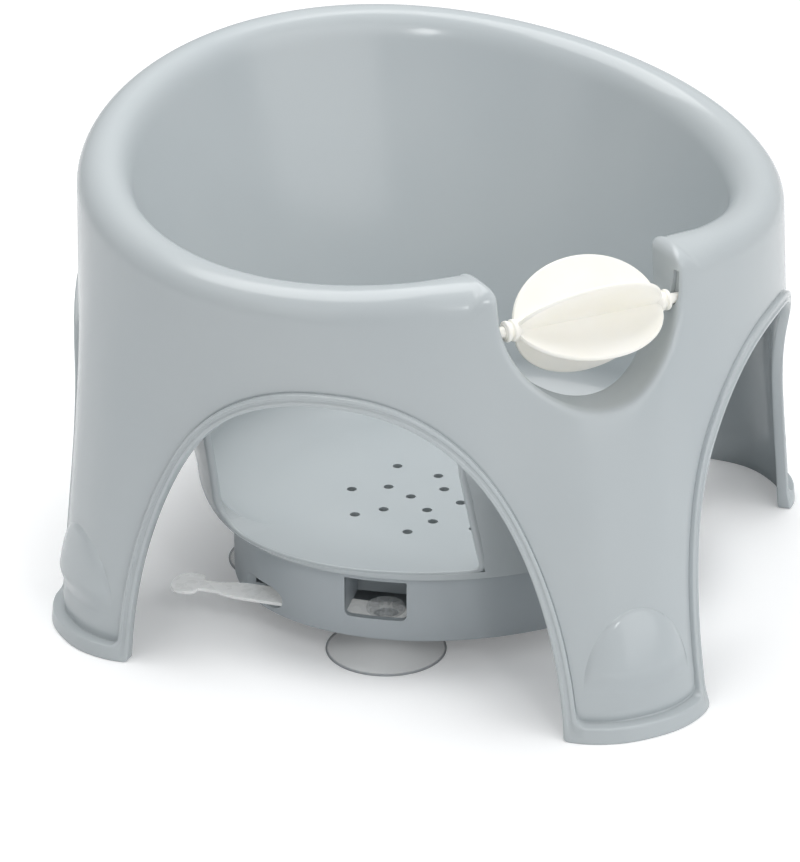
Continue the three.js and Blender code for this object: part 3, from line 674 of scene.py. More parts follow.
notch = {
    "radius": 41.5, "height": 172.5, "straight": 3, "corner": 5, "middleCorner": 1.5,
    "squareness": 7, "endSquareness": 2.2,      # the roll's section: 2 is an ellipse
    "fadeLength": 14, "landWidth": 19.5, "flareBottom": 78, "flareStart": 20, "flareEnd": 32,
    "axleHeight": 164, "axleY": -131,
    "holeRadius": 2.55, "holeEnd": 45.9, "rampHeight": 12, "rampWidth": 3, "rampDepth": 1.6, "rampStart": -2,
}


def footAngle(reach):
    return math.asin(plan["footHalfWidth"] / (reach - plan["ledgeProud"]))


def archShift(z, span):
    sine = (z / shell["archHeight"]) ** (shell["archPower"] / 2)
    return span * (1 - (1 - sine ** 2) ** (1 / shell["archPower"])) / 2


def cornerZone(corner, side, span):
    # columns: outer edge, inner edge of the band, and how far the ledge has become the bead
    inner = shell["bandCorner"]
    run = shell["beadWidth"] + inner
    climb = shell["ledgeHeight"] + inner
    small = shell["footCorner"]
    outer = [(mix(run, small, t), 0.0) for t in np.linspace(0, 1, 6)[:-1]]
    outer += [(small * (1 - math.sin(a)), small * (1 - math.cos(a))) for a in quarter(6)]
    outer += [(-archShift(z, span), z) for z in np.linspace(small, climb, 7)[1:]]
    outer = np.array(outer)
    length = pathLength(outer)
    share = length / length[-1]
    turn = share * np.pi / 2
    columns = np.stack([
        corner - side * outer[:, 0], outer[:, 1],
        corner - side * (run - inner * np.sin(turn)), climb - inner * np.cos(turn), smoothStep(share),
    ], axis=1)
    return columns if side > 0 else columns[::-1]


def archColumns(start, end):
    climb = shell["ledgeHeight"] + shell["bandCorner"]
    first = math.asin((climb / shell["archHeight"]) ** (shell["archPower"] / 2))
    turn = np.linspace(first, np.pi - first, 4000)
    across = np.abs(np.cos(turn)) ** (2 / shell["archPower"]) * np.sign(np.cos(turn))
    height = shell["archHeight"] * np.sin(turn) ** (2 / shell["archPower"])
    dense = np.stack([mix(start, end, (1 - across) / 2), height], 1)
    length = pathLength(dense)
    even = np.linspace(0, length[-1], shell["archColumns"] + 2)
    edge = np.stack([np.interp(even, length, dense[:, 0]), np.interp(even, length, dense[:, 1])], 1)
    run = unit(np.gradient(edge, axis=0))
    inward = np.stack([-run[:, 1], run[:, 0]], 1)
    band = edge + inward * shell["beadWidth"]
    return np.column_stack([edge, band, np.ones(len(edge))])[1:-1]


def footRun(start, end, count):
    along = np.linspace(start, end, count + 1)[:-1]
    return np.column_stack([along, 0 * along, along, 0 * along + shell["ledgeHeight"], 0 * along])


def lowerEdge():
    # half the ring, from the middle of the front foot to the middle of the back foot
    reach = plan["sideReach"]
    corners = [
        footAngle(plan["frontReach"]) * reach,
        (np.pi / 2 - footAngle(plan["sideReach"])) * reach,
        (np.pi / 2 + footAngle(plan["sideReach"])) * reach,
        (np.pi - footAngle(plan["backReach"])) * reach,
    ]
    run = shell["beadWidth"] + shell["bandCorner"]
    spans = [corners[1] - corners[0], corners[3] - corners[2]]
    parts = [
        footRun(0, corners[0] - run, shell["footColumns"]),
        cornerZone(corners[0], 1, spans[0]),
        archColumns(corners[0], corners[1]),
        cornerZone(corners[1], -1, spans[0]),
        footRun(corners[1] + run, corners[2] - run, shell["sideFootColumns"])[1:],
        cornerZone(corners[2], 1, spans[1]),
        archColumns(corners[2], corners[3]),
        cornerZone(corners[3], -1, spans[1]),
        footRun(np.pi * reach, corners[3] + run, shell["footColumns"])[::-1],
    ]
    apex = len(parts[0]) + len(parts[1]) + shell["archColumns"] // 2
    columns = np.concatenate(parts)
    columns[:, 0] /= reach
    columns[:, 2] /= reach
    return columns, apex


def notchPath(lastAngle, count):
    # top places of the columns: skirt angle and height, bowl angle and height, rise, squareness
    path = []
    middleRadius = notch["radius"] + rim["roll"]
    cornerX = middleRadius + notch["middleCorner"]
    rimZ = float(rimMiddleHeight(math.asin(cornerX / (rim["oval"][1] + rim["roll"] / 2))))

    def add(x, z, rise, power):
        path.append((angleAtX(x, z, skirtRadius), z, angleAtX(x, z, bowlRadius), z, *rise, power))

    wallTop = rimZ - notch["middleCorner"]
    lastTurn = math.acos((notch["height"] - wallTop + notch["straight"]) / middleRadius)
    for turn in np.linspace(0, lastTurn, shell["notchColumns"] + 1):
        rise = np.array([-math.sin(turn), 0, math.cos(turn)]) * rim["roll"]
        z = notch["height"] - middleRadius * math.cos(turn)
        add(middleRadius * math.sin(turn), z, rise, notch["squareness"])
    upright = np.array([-rim["roll"], 0, rimZ + rim["roll"] - notch["corner"] - wallTop])
    for share in np.linspace(0, 1, shell["straightColumns"] + 2)[1:-1]:
        x = mix(middleRadius * math.sin(lastTurn), middleRadius, share)
        add(x, mix(z, wallTop, share), mix(rise, upright, share), notch["squareness"])
    for share in np.linspace(0, 1, shell["cornerColumns"] + 1):
        turn = share * np.pi / 2
        sideways, lowered = 1 - math.cos(turn), 1 - math.sin(turn)
        x = middleRadius + notch["middleCorner"] * sideways
        z = rimZ - notch["middleCorner"] * lowered
        surfaceX = notch["radius"] + notch["corner"] * sideways
        surfaceZ = rimZ + rim["roll"] - notch["corner"] * lowered
        add(x, z, (surfaceX - x, 0, surfaceZ - z), mix(notch["squareness"], notch["endSquareness"], share))
    left = count - len(path) + 1
    last = path[-1]
    for share in np.linspace(0, 1, left + 1)[1:]:
        angle, innerAngle = mix(last[0], lastAngle, share), mix(last[2], lastAngle, share)
        z = float(rimMiddleHeight(angle))
        along = share * (lastAngle - last[0]) * (rim["oval"][1] + rim["roll"])
        fade = min(along / notch["fadeLength"], 1)
        path.append((angle, z, innerAngle, z, *last[4:7], -fade))
    return path


def shellColumns():
    edge, apex = lowerEdge()
    path = notchPath(edge[apex, 0], apex)
    rows = []
    for i, low in enumerate(edge):
        if i <= apex:
            rows.append((*low, *path[i]))
            continue
        even = mix(edge[apex, 0], np.pi, (i - apex) / (len(edge) - 1 - apex))
        angle = mix(even, low[0], 0.5)
        z = float(rimMiddleHeight(angle))
        rows.append((*low, angle, z, angle, z, 0, 0, 0, -1))
    half = np.array(rows)
    flip = np.ones(half.shape[1])
    flip[[0, 2, 5, 7, 9]] = -1
    return np.concatenate([half, half[1:-1][::-1] * flip])


def rollFrames(columns):
    topAngle, topZ, innerAngle, innerZ = columns[:, 5:9].T
    outer = pointAt(topAngle, skirtRadius(topAngle, topZ), topZ)
    inner = pointAt(innerAngle, bowlRadius(innerAngle, innerZ), innerZ)
    middle = (outer + inner) / 2
    across = (outer - inner) / 2
    along = np.roll(middle, -1, axis=0) - np.roll(middle, 1, axis=0)
    natural = np.cross(across, along)
    natural *= rim["roll"] / np.linalg.norm(natural, axis=1, keepdims=True)
    natural *= np.sign(natural[:, 2:3])
    given = columns[:, 9:12]
    power = columns[:, 12]
    fade = np.where(power > 0, 0, np.minimum(-power, 1))[:, None]
    rise = mix(given, natural, fade)
    squareness = np.where(power > 0, power, mix(notch["endSquareness"], 2, fade[:, 0]))
    return outer, inner, middle, across, rise, squareness


def depthAt(x, z, radiusAt):
    # Y of a wall's front at a side distance and height, for whole arrays
    angle = 0 * x
    for _ in range(6):
        angle = np.arcsin(np.clip(x / radiusAt(angle, z), -1, 1))
    return -radiusAt(angle, z) * np.cos(angle)


def leanOf(radiusAt, start, rise, across):
    # slope of a wall across the roll for each step along the roll's rise
    length = np.linalg.norm(rise, axis=1, keepdims=True)
    probe = start + rise / length
    angle = np.arctan2(probe[:, 0], -probe[:, 1])
    onWall = pointAt(angle, radiusAt(angle, probe[:, 2]), probe[:, 2])
    step = onWall - start
    width = np.linalg.norm(across, axis=1, keepdims=True)
    sideways = (step * across / width).sum(axis=1)
    upward = (step * rise / length).sum(axis=1)
    return sideways / upward


def flowSwings(count):
    # sideways swing of each column: low down away from the leg's edge, high up round to the notch's side
    index = np.arange(count)
    near = np.minimum(index, count - index)
    toward = np.where(index < count / 2, 1, -1) * deg

    def swing(degrees, rise, grow, fall, fade):
        return smoothStep((near - rise) / grow) * (1 - smoothStep((near - fall) / fade)) * degrees * toward

    sides = shell["notchColumns"] + shell["straightColumns"] + shell["cornerColumns"]
    return swing(*shell["lowSwing"]), swing(*shell["highSwing"][:3], sides, shell["highSwing"][3])


def shellSections(columns):
    outer, inner, middle, across, rise, squareness = rollFrames(columns)
    lowAngle, lowZ, bandAngle, bandZ, bead = columns[:, :5].T
    topAngle, topZ = columns[:, 5], columns[:, 6]
    wall = shell["wall"]
    proud = mix(plan["ledgeProud"], shell["beadProud"], bead)
    groove = shell["bandGroove"] * bead
    soft = shell["edgeRound"]
    rows = []

    def bandPoint(share, offset):
        rows.append(onSurface(skirtRadius, mix(lowAngle, bandAngle, share), mix(lowZ, bandZ, share), offset))

    edgeShare = soft / mix(shell["ledgeHeight"], shell["beadWidth"], bead)
    for turn in quarter(4):
        bandPoint(edgeShare * (1 - math.sin(turn)), -wall + soft * (1 - math.cos(turn)))
    for turn in quarter(5):
        bandPoint(edgeShare * (1 - math.cos(turn)), proud - soft * (1 - math.sin(turn)))
    for share, depth in ((0.30, 0), (0.37, 0.8), (0.44, 1), (0.56, 1), (0.63, 0.8), (0.70, 0)):
        bandPoint(share, proud - groove * depth)
    for turn in quarter(5):
        bandPoint(1 - edgeShare * (1 - math.sin(turn)), proud - soft * (1 - math.cos(turn)))

    low, high = flowSwings(len(columns))

    def wallPoint(share, offset):
        aside = high * share ** 2 * (1 - share) - low * share * (1 - share) ** 2
        angle = mix(bandAngle, topAngle, share) + aside
        rows.append(onSurface(skirtRadius, angle, mix(bandZ, topZ, share), offset + 0 * angle))

    for share, depth in shell["groove"]:
        wallPoint(share, depth * mix(1, shell["grooveAtArch"], bead))
    for step in range(1, shell["wallRows"]):
        wallPoint(mix(shell["wallStart"], 1, (step / shell["wallRows"]) ** shell["wallCrowding"]), 0)
    outerLean = leanOf(skirtRadius, outer, rise, across)
    innerLean = leanOf(bowlRadius, inner, rise, across)
    rollHeight = np.linalg.norm(rise, axis=1)
    unitAcross = unit(across)
    ended = notch["endSquareness"]
    inNotch = smoothStep((columns[:, 12] - ended) / (notch["squareness"] - ended))

    def rollPoint(turn, share):
        crowd = shell["rollCrowding"] * np.clip((squareness - 2) / 3, 0, 1)
        warped = turn + crowd * np.sin(4 * turn) / 4
        cosine = np.sign(np.cos(warped)) * np.abs(np.cos(warped)) ** (2 / squareness)
        sine = np.abs(np.sin(warped)) ** (2 / squareness)
        side = (1 + np.tanh(shell["leanSharpness"] * cosine)) / 2
        lean = mix(innerLean, outerLean, side) * rollHeight * sine * (1 - sine)
        point = middle + across * (cosine * share)[:, None] + rise * (sine * share)[:, None]
        point = point + unitAcross * (lean * share)[:, None]
        # round the notch the section fills the space between the skirt and the bowl's wall
        flat = middle + rise * (sine * share)[:, None]
        skirtY, bowlY = (depthAt(flat[:, 0], flat[:, 2], radiusAt) for radiusAt in (skirtRadius, bowlRadius))
        filled = np.stack([flat[:, 0], mix(bowlY, skirtY, (1 + cosine * share) / 2), flat[:, 2]], axis=1)
        return np.where(inNotch[:, None] > 0, mix(point, filled, inNotch[:, None]), point)

    for turn in np.linspace(0, np.pi, shell["rollRows"] + 1):
        rows.append(rollPoint(turn, 1 + 0 * squareness))
    thin = 1 - wall / np.linalg.norm(across, axis=1)
    for turn in np.linspace(np.pi, 0, shell["underRows"] + 1):
        rows.append(rollPoint(turn, thin))
    for step in range(shell["insideRows"] - 1, 0, -1):
        wallPoint(step / shell["insideRows"], -wall)
    return np.stack(rows, axis=1)


def rampCutter(side):
    deep = notch["radius"] + notch["rampDepth"]
    shallow = notch["radius"] + notch["rampStart"]
    wide, low, high = notch["rampWidth"], notch["axleHeight"], notch["axleHeight"] + notch["rampHeight"]
    outline = [(-wide, low), (wide, low), (wide / 2, high), (-wide / 2, high)]
    ring = lambda x: [(side * x, notch["axleY"] + y, z) for y, z in outline]
    return stackedRings("ramp", np.array([ring(shallow), ring(deep)]))


def pinHole():
    turns = np.linspace(0, tau, 40, endpoint=False)
    reach = notch["holeEnd"]
    ring = lambda x: [(x, notch["axleY"] + notch["holeRadius"] * math.cos(t),
                       notch["axleHeight"] + notch["holeRadius"] * math.sin(t)) for t in turns]
    return stackedRings("pinHole", np.array([ring(-reach), ring(reach)]))


columns = shellColumns()
outerShell = linkObject("ringShell", sweptLoop("ringShell", shellSections(columns)), glossGrey)
cutAway(outerShell, [rampCutter(-1), rampCutter(1), pinHole()])
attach(outerShell, "frame")
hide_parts("outer_shell")
print("ring shell made:", len(outerShell.data.polygons), "faces")


# Shallow domes moulded into the faces of the feet

toeDome = {
    "halfWidth": 27, "height": 33, "foot": 18, "proud": 3.9, "sunk": 1.2, "edgeSunk": 0.02,
    "fullness": 0.6, "footSlope": 3.0, "rings": 22, "spokes": 56,
}


def toeDomePoints(centre, reach):
    front, back = [], []
    for share in np.linspace(0, 1, toeDome["rings"] + 1):
        turn = np.linspace(0, np.pi, toeDome["spokes"] + 1)
        angle = centre + toeDome["halfWidth"] * share * np.cos(turn) / reach
        z = toeDome["foot"] + toeDome["height"] * share * np.sin(turn)
        rising = smoothStep(np.sin(turn) * share * toeDome["footSlope"] + 0.02)
        swell = toeDome["proud"] * (1 - share ** 2) ** toeDome["fullness"] * rising
        front.append(onSurface(skirtRadius, angle, z, swell - toeDome["edgeSunk"]))
        back.append(onSurface(skirtRadius, angle, z, 0 * angle - toeDome["sunk"]))
    return np.array(front), np.array(back)


def toeDomeMesh():
    points, faces = [], []
    feet = ("frontReach", "sideReach", "backReach", "sideReach")
    for centre, reach in zip((0, np.pi / 2, np.pi, -np.pi / 2), (plan[foot] for foot in feet)):
        front, back = toeDomePoints(centre, reach)
        rows, count = front.shape[:2]
        start = len(points)
        points += [*front.reshape(-1, 3), *back.reshape(-1, 3)]
        other = start + rows * count
        for i in range(rows - 1):
            for j in range(count - 1):
                a, b = start + i * count + j, start + (i + 1) * count + j
                faces.append((a, b, b + 1, a + 1))
                a, b = other + i * count + j, other + (i + 1) * count + j
                faces.append((a, a + 1, b + 1, b))
            for j in (0, count - 1):
                a, b = start + i * count + j, start + (i + 1) * count + j
                faces.append((a, a + rows * count, b + rows * count, b))
        for j in range(count - 1):
            a = start + (rows - 1) * count + j
            faces.append((a, a + 1, a + 1 + rows * count, a + rows * count))
    return meshFrom("toeDomes", points, faces, 50, weld=0.001)


toeDomes = linkObject("toeDomes", toeDomeMesh(), glossGrey)
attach(toeDomes, "frame")
print("toe domes made")


# Bowl with two leg openings and drain holes

opening = {
    "front": 17, "lean": 5.5, "rear": 82.5, "corner": 73, "peak": 52,      # degrees
    "cornerHeight": 14, "shoulder": 96, "top": 138, "steps": 44,
    "beadRadius": 1.9, "lipRadius": 1.15, "lipReach": 9, "lipDrop": 0.25, "cutInside": 2, "cutOutside": 52,
}
drains = {
    "radius": 2.2, "segments": 28, "depth": 8,
    # to the side and behind the middle of the base, in parts of its half width
    "places": [
        (0.06, 0.09), (0.17, 0.26), (0.1, -0.04), (0.3, 0.09), (0.45, 0.14), (0.26, -0.04), (0.1, -0.19),
        (0.42, -0.1), (0.26, -0.19), (0.55, -0.09), (0.29, -0.3), (0.43, -0.34), (0.17, -0.44),
    ],
}


def bowlRings(columns):
    topAngle, topZ = columns[:, 7], columns[:, 8]
    count = len(columns)
    unwrapped = np.where(np.arange(count) > count // 2, topAngle + tau, topAngle)
    even = np.arange(count) * tau / count
    footAngles = mix(unwrapped, even, 0.5)
    rings = []

    def filletRing(turn, baseOffset, wallOffset, fromZ):
        near, far = ovalPlan(footAngles, baseOval, baseOffset), ovalPlan(footAngles, bowl["oval"], wallOffset)
        z = mix(fromZ, wallFoot, 1 - math.cos(turn))
        rings.append(pointAt(footAngles, mix(near, far, math.sin(turn)), z + 0 * footAngles))

    def wallRing(share, offset):
        angle, z = mix(footAngles, unwrapped, share), mix(wallFoot, topZ, share)
        rings.append(onSurface(bowlRadius, angle, z, offset + 0 * angle))

    for turn in quarter(bowl["filletRows"] + 1):
        filletRing(turn, -bowl["floorInset"], 0, floorTop)
    for share in np.linspace(0, 1, bowl["wallRows"] + 1)[1:]:
        wallRing(share, 0)
    for share in np.linspace(1, 0, bowl["outsideRows"] + 1)[:-1]:
        wallRing(share, bowl["wall"])
    for turn in np.linspace(np.pi / 2, 0, bowl["filletRows"] + 1):
        filletRing(turn, bowl["floorLip"], bowl["wall"], bowl["floorBottom"])
    return np.stack(rings)


def openingOutline():
    steps = opening["steps"]
    front, rear = opening["front"] * deg, opening["rear"] * deg
    frontTop, corner, peak = front + opening["lean"] * deg, opening["corner"] * deg, opening["peak"] * deg
    shoulder = opening["shoulder"]
    outline = [(mix(front, frontTop, t), mix(floorTop, shoulder, t)) for t in np.linspace(0, 1, 20)[:-1]]
    for i in range(2 * steps + 1):
        turn = np.pi / 2 * i / steps
        edge = frontTop if i < steps else rear
        z = mix(shoulder, opening["top"], math.sin(turn))
        outline.append((mix(peak, edge, abs(math.cos(turn))), z))
    cornerTop = floorTop + opening["cornerHeight"]
    outline += [(rear, mix(shoulder, cornerTop, t)) for t in np.linspace(0, 1, 16)[1:-1]]
    for turn in quarter(14):
        outline.append((mix(corner, rear, math.cos(turn)), mix(cornerTop, floorTop, math.sin(turn))))
    return np.array(outline)


def closedOutline(steps):
    # goes back to its start along the floor
    lip = [(a, floorTop) for a in np.linspace(opening["corner"], opening["front"], steps)[1:-1] * deg]
    return np.concatenate([openingOutline(), lip]).T


def openingCutter(side):
    angle, z = closedOutline(30)
    near = ovalPlan(angle, baseOval, -bowl["floorInset"] - opening["cutInside"])
    far = ovalPlan(angle, baseOval, opening["cutOutside"])
    return stackedRings("opening", np.stack([pointAt(side * angle, near, z), pointAt(side * angle, far, z)]))


def outsideRadius(angle, z):
    # outer face of the bowl, through the fillet at its foot
    rise = np.clip((z - bowl["floorBottom"]) / (wallFoot - bowl["floorBottom"]), 0, 1)
    sweep = np.sqrt(1 - (1 - rise) ** 2)
    lip = ovalPlan(angle, baseOval, bowl["floorLip"])
    fillet = mix(lip, ovalPlan(angle, bowl["oval"], bowl["wall"]), sweep)
    return np.where(z < wallFoot, fillet, bowlRadius(angle, z) + bowl["wall"])


def beadPath(side):
    angle, z = closedOutline(40)
    points = pointAt(side * angle, outsideRadius(angle, z) - bowl["wall"] / 2, z)
    atLip = 1 - smoothStep((z - floorTop) / opening["lipReach"])
    points[:, 2] -= opening["lipDrop"] * atLip
    radius = mix(opening["beadRadius"], opening["lipRadius"], atLip)
    for _ in range(3):
        points = (np.roll(points, 1, 0) + 2 * points + np.roll(points, -1, 0)) / 4
        radius = (np.roll(radius, 1) + 2 * radius + np.roll(radius, -1)) / 4
    return points, radius


def sweepBead(tree, start):
    size = {"Radius": start["Thickness"], "Resolution": start["Corners"]}
    profile = addNode(tree, "GeometryNodeCurvePrimitiveCircle", size)["Curve"]
    reach = addNode(tree, "GeometryNodeInputRadius")[0]
    swept = {"Curve": start["Geometry"], "Profile Curve": profile, "Scale": reach}
    return addNode(tree, "GeometryNodeCurveToMesh", swept)["Mesh"]


def openingBeads():
    paths = [beadPath(side) for side in (-1, 1)]
    source = loopCurve("openingBeads", "3D", [(points * mm, radius) for points, radius in paths])
    addTree(source, "roundBead", glossGrey, {"Thickness": ("Float", mm), "Corners": ("Int", 20)}, sweepBead)
    mesh = curveMesh(source)
    if signedVolume(mesh) < 0:
        mesh.flip_normals()
    smoothShade(mesh, 60)
    return linkObject("openingBeads", mesh, glossGrey)


def punchHoles(tree, start):
    places = addNode(tree, "GeometryNodeObjectInfo", {"Object": start["Hole places"]})["Geometry"]
    punch = addNode(tree, "GeometryNodeMeshCylinder", {
        "Vertices": start["Hole corners"], "Radius": start["Hole radius"], "Depth": start["Hole depth"],
    })["Mesh"]
    copies = copiesOn(tree, {"Points": pointsOf(tree, places), "Instance": punch})
    both = {"Mesh 1": start["Geometry"], "Mesh 2": realized(tree, copies)}
    return addNode(tree, "GeometryNodeMeshBoolean", both, operation="DIFFERENCE", solver="MANIFOLD")["Mesh"]


def drainPlaces():
    width = baseOval[0]
    middle = bowl["floorBottom"] + bowl["floorThickness"] / 2
    points = [(side * x * width * mm, (baseY + y * width) * mm, middle * mm)
              for x, y in drains["places"] for side in (-1, 1)]
    mesh = bpy.data.meshes.new("drainPlaces")
    mesh.from_pydata(points, [], [])
    return linkObject("drainPlaces", mesh)


bowlShell = linkObject("bowlShell", stackedRings("bowlShell", bowlRings(columns), 40), glossGrey)
cutAway(bowlShell, [openingCutter(-1), openingCutter(1)], sharpAngle=40)
holePlaces = drainPlaces()
growPiece(bowlShell, "drainHoles", glossGrey, {
    "Hole places": ("Object", holePlaces), "Hole radius": ("Float", drains["radius"] * mm),
    "Hole depth": ("Float", drains["depth"] * mm), "Hole corners": ("Int", drains["segments"]),
}, punchHoles)
discard(holePlaces)
smoothShade(bowlShell.data, 40)
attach(bowlShell, "frame")
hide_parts("seat_bowl")
beads = openingBeads()
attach(beads, "frame")
print("bowl made:", len(bowlShell.data.polygons), "faces")


# Oval base with its windows and slots

drum = {
    "bottom": 12, "top": 42, "flange": 14, "topWall": 2.5, "wall": 3, "ledge": 3,
    "ledgeBottom": 16.3, "ledgeTop": 18.3, "columns": 288, "edge": 0.7,
    "windowWidth": 27, "windowBottom": 21.5, "windowTop": 39.5, "windowCorner": 2.6, "windowUpperCorner": 0.6,
    "slotWidth": 16, "slotBottom": 14, "slotTop": 24, "slotCorner": 4.2,
    "boxFront": 2.4, "boxDepth": 27, "boxWall": 1.5, "boxBottom": 21.6, "boxTop": 42.5,
    "windowCut": (-7, 4), "slotCut": (38, 72),      # how far each cutter reaches, through the wall
}


def atBase(turn, inset, z):
    x = (baseOval[0] - inset) * math.sin(turn)
    return np.array([x, baseY - (baseHalfDepth - inset) * math.cos(turn), z])


def cupCentre(side, end):
    return np.array([side * cupPlan["side"], baseY + end * cupPlan["forward"], 0])


def drumSections():
    soft, wall = drum["edge"], drum["wall"]
    bottom, top = drum["bottom"], drum["top"]
    roof = top - drum["topWall"]
    arc = [(soft * (1 - math.sin(a)), soft * (1 - math.cos(a))) for a in quarter(4)]
    profile = [(-inward, bottom + low) for inward, low in arc]
    profile += [(-inward, top - low) for low, inward in arc]
    profile += [(-drum["flange"], top), (-drum["flange"], roof), (-wall, roof), (-wall, drum["ledgeTop"])]
    profile += [(-wall - drum["ledge"], drum["ledgeTop"]), (-wall - drum["ledge"], drum["ledgeBottom"])]
    profile += [(-wall, drum["ledgeBottom"]), (-wall, bottom + soft), (-wall + soft, bottom)]
    turns = np.linspace(0, tau, drum["columns"], endpoint=False)
    rows = [pointAt(turns, ovalPlan(turns, baseOval, offset), z + 0 * turns) for offset, z in profile]
    return np.stack(rows, axis=1)


def roundedBox(halfWidth, low, high, lowCorner, highCorner):
    outline = []
    for cornerX, cornerZ, radius, first in (
        (halfWidth, low, lowCorner, -90), (halfWidth, high, highCorner, 0),
        (-halfWidth, high, highCorner, 90), (-halfWidth, low, lowCorner, 180),
    ):
        towardX = -math.copysign(1, cornerX)
        towardZ = 1 if cornerZ == low else -1
        for turn in np.linspace(first, first + 90, 8) * deg:
            x, z = towardX + math.cos(turn), towardZ + math.sin(turn)
            outline.append((cornerX + radius * x, cornerZ + radius * z))
    return np.array(outline)


def wallCutter(centre, along, through, outline, near, far):
    across, height = outline.T
    ring = lambda depth: (centre[:2] + np.outer(across, along) + np.outer(0 * across + depth, through))
    rows = [np.column_stack([ring(depth), height]) for depth in (near, far)]
    return stackedRings("wallCutter", np.stack(rows))


def windowFrame(turn):
    normal = unit(np.array([math.sin(turn) / baseOval[0], -math.cos(turn) / baseHalfDepth]))
    return atBase(turn, 0, 0), np.array([-normal[1], normal[0]]), normal


windowTurns = [(1 / 8 + i / 4) * tau for i in range(4)]


def drumCutters():
    cutters = []
    low, high, corner = drum["windowBottom"], drum["windowTop"], drum["windowCorner"]
    outline = roundedBox(drum["windowWidth"] / 2, low, high, corner, drum["windowUpperCorner"])
    for turn in windowTurns:
        centre, along, normal = windowFrame(turn)
        cutters.append(wallCutter(centre, along, normal, outline, *drum["windowCut"]))
    low, high, corner = drum["slotBottom"], drum["slotTop"], drum["slotCorner"]
    slot = roundedBox(drum["slotWidth"] / 2, low, high, corner, corner)
    for side in (-1, 1):
        away = np.array([side, 1]) / math.sqrt(2)
        along = np.array([-away[1], away[0]])
        cutters.append(wallCutter(cupCentre(side, -1), along, away, slot, *drum["slotCut"]))
    return cutters


def boxWalls():
    # the three walls behind each window, hanging from the bowl's floor
    points, faces = [], []
    half, deep, thick = drum["windowWidth"] / 2 + drum["boxWall"], drum["boxDepth"], drum["boxWall"]
    front, slim = -drum["boxFront"], half - thick
    outline = [(-half, front), (-half, -deep), (half, -deep), (half, front)]
    inner = [(slim, front), (slim, thick - deep), (-slim, thick - deep), (-slim, front)]
    for turn in windowTurns:
        centre, along, normal = windowFrame(turn)
        ring = [centre[:2] + along * a + normal * b for a, b in outline + inner]
        start = len(points)
        points += [(*p, drum["boxBottom"]) for p in ring] + [(*p, drum["boxTop"]) for p in ring]
        count = len(ring)
        faces += ringFaces(2, count, False, start)
        for a, b, c, d in ((0, 1, 6, 7), (1, 2, 5, 6), (2, 3, 4, 5)):
            faces.append((start + a, start + b, start + c, start + d))
            faces.append((start + count + d, start + count + c, start + count + b, start + count + a))
    return meshFrom("windowBoxes", points, faces, 30, weld=0.001)


baseDrum = linkObject("baseWall", sweptLoop("baseWall", drumSections(), 30), satinGrey)
cutAway(baseDrum, drumCutters(), sharpAngle=30)
windowBoxes = linkObject("windowBoxes", boxWalls(), satinGrey)
for piece in (baseDrum, windowBoxes):
    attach(piece, "frame")
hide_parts("base_drum")
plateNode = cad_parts["base_plate"]
plateNode.data.materials.clear()
plateNode.data.materials.append(satinGrey)
print("base made")


# Screws under the base

screw = {
    "inset": 25, "headBottom": 10.9, "headTop": 12.7, "headRadius": 3.4, "shankRadius": 1.45,
    "headHeight": 1.8, "tip": 32.8, "tipLength": 0.8, "tipRadius": 0.9, "pitch": 1.1,
    "threadStart": 2.3, "threadRoot": 1.05, "recess": 0.9, "recessReach": 1.9, "recessDepth": 1.1,
}


def screwBody():
    # pan head and threaded shank about the Z axis
    head = screw["headRadius"]
    top = screw["headHeight"]
    profile = [(0, 0), (2.2, 0.0), (2.9, 0.25), (head, 0.9), (head, 1.6), (3.2, top)]
    length = screw["tip"] - screw["headTop"]
    turnsOfThread = int(length / screw["pitch"]) - 1
    for i in range(turnsOfThread):
        z = screw["threadStart"] + i * screw["pitch"]
        profile += [(screw["threadRoot"], z), (screw["shankRadius"], z + screw["pitch"] / 2)]
    profile += [(screw["tipRadius"], top + length - screw["tipLength"]), (0, top + length)]
    mesh = turnedProfile("screwBody", profile, (0, 0, 0), 28, 45)
    piece = linkObject("screwBody", mesh, screwSteel)
    wide, reach = screw["recess"] / 2, screw["recessReach"]
    for long, short in ((reach, wide), (wide, reach)):
        corners = [(-long, -short), (long, -short), (long, short), (-long, short)]
        rings = [[(x, y, z) for x, y in corners] for z in (-0.5, screw["recessDepth"])]
        cutAway(piece, [stackedRings("recess", np.array(rings))], sharpAngle=45)
    return piece


def copyScrews(tree, start):
    source = addNode(tree, "GeometryNodeObjectInfo", {"Object": start["Screw"]})["Geometry"]
    copies = copiesOn(tree, {"Points": pointsOf(tree, start["Geometry"]), "Instance": source})
    return shifted(tree, copies, addNode(tree, "ShaderNodeCombineXYZ", {"Z": start["Height"]})[0])


def placeScrews():
    mesh = bpy.data.meshes.new("baseScrews")
    mesh.from_pydata([tuple(atBase(i * tau / 4, screw["inset"], 0) * mm) for i in range(4)], [], [])
    screws = linkObject("baseScrews", mesh, screwSteel)
    source = screwBody()
    growPiece(screws, "baseScrews", screwSteel, {
        "Screw": ("Object", source), "Height": ("Float", screw["headBottom"] * mm),
    }, copyScrews)
    discard(source)
    smoothShade(screws.data, 45)
    return screws


screws = placeScrews()
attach(screws, "frame")
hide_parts("base_screw_front", "base_screw_right", "base_screw_back", "base_screw_left")
print("screws made")


# Suction cups: a thin dome, a neck and a ribbed head

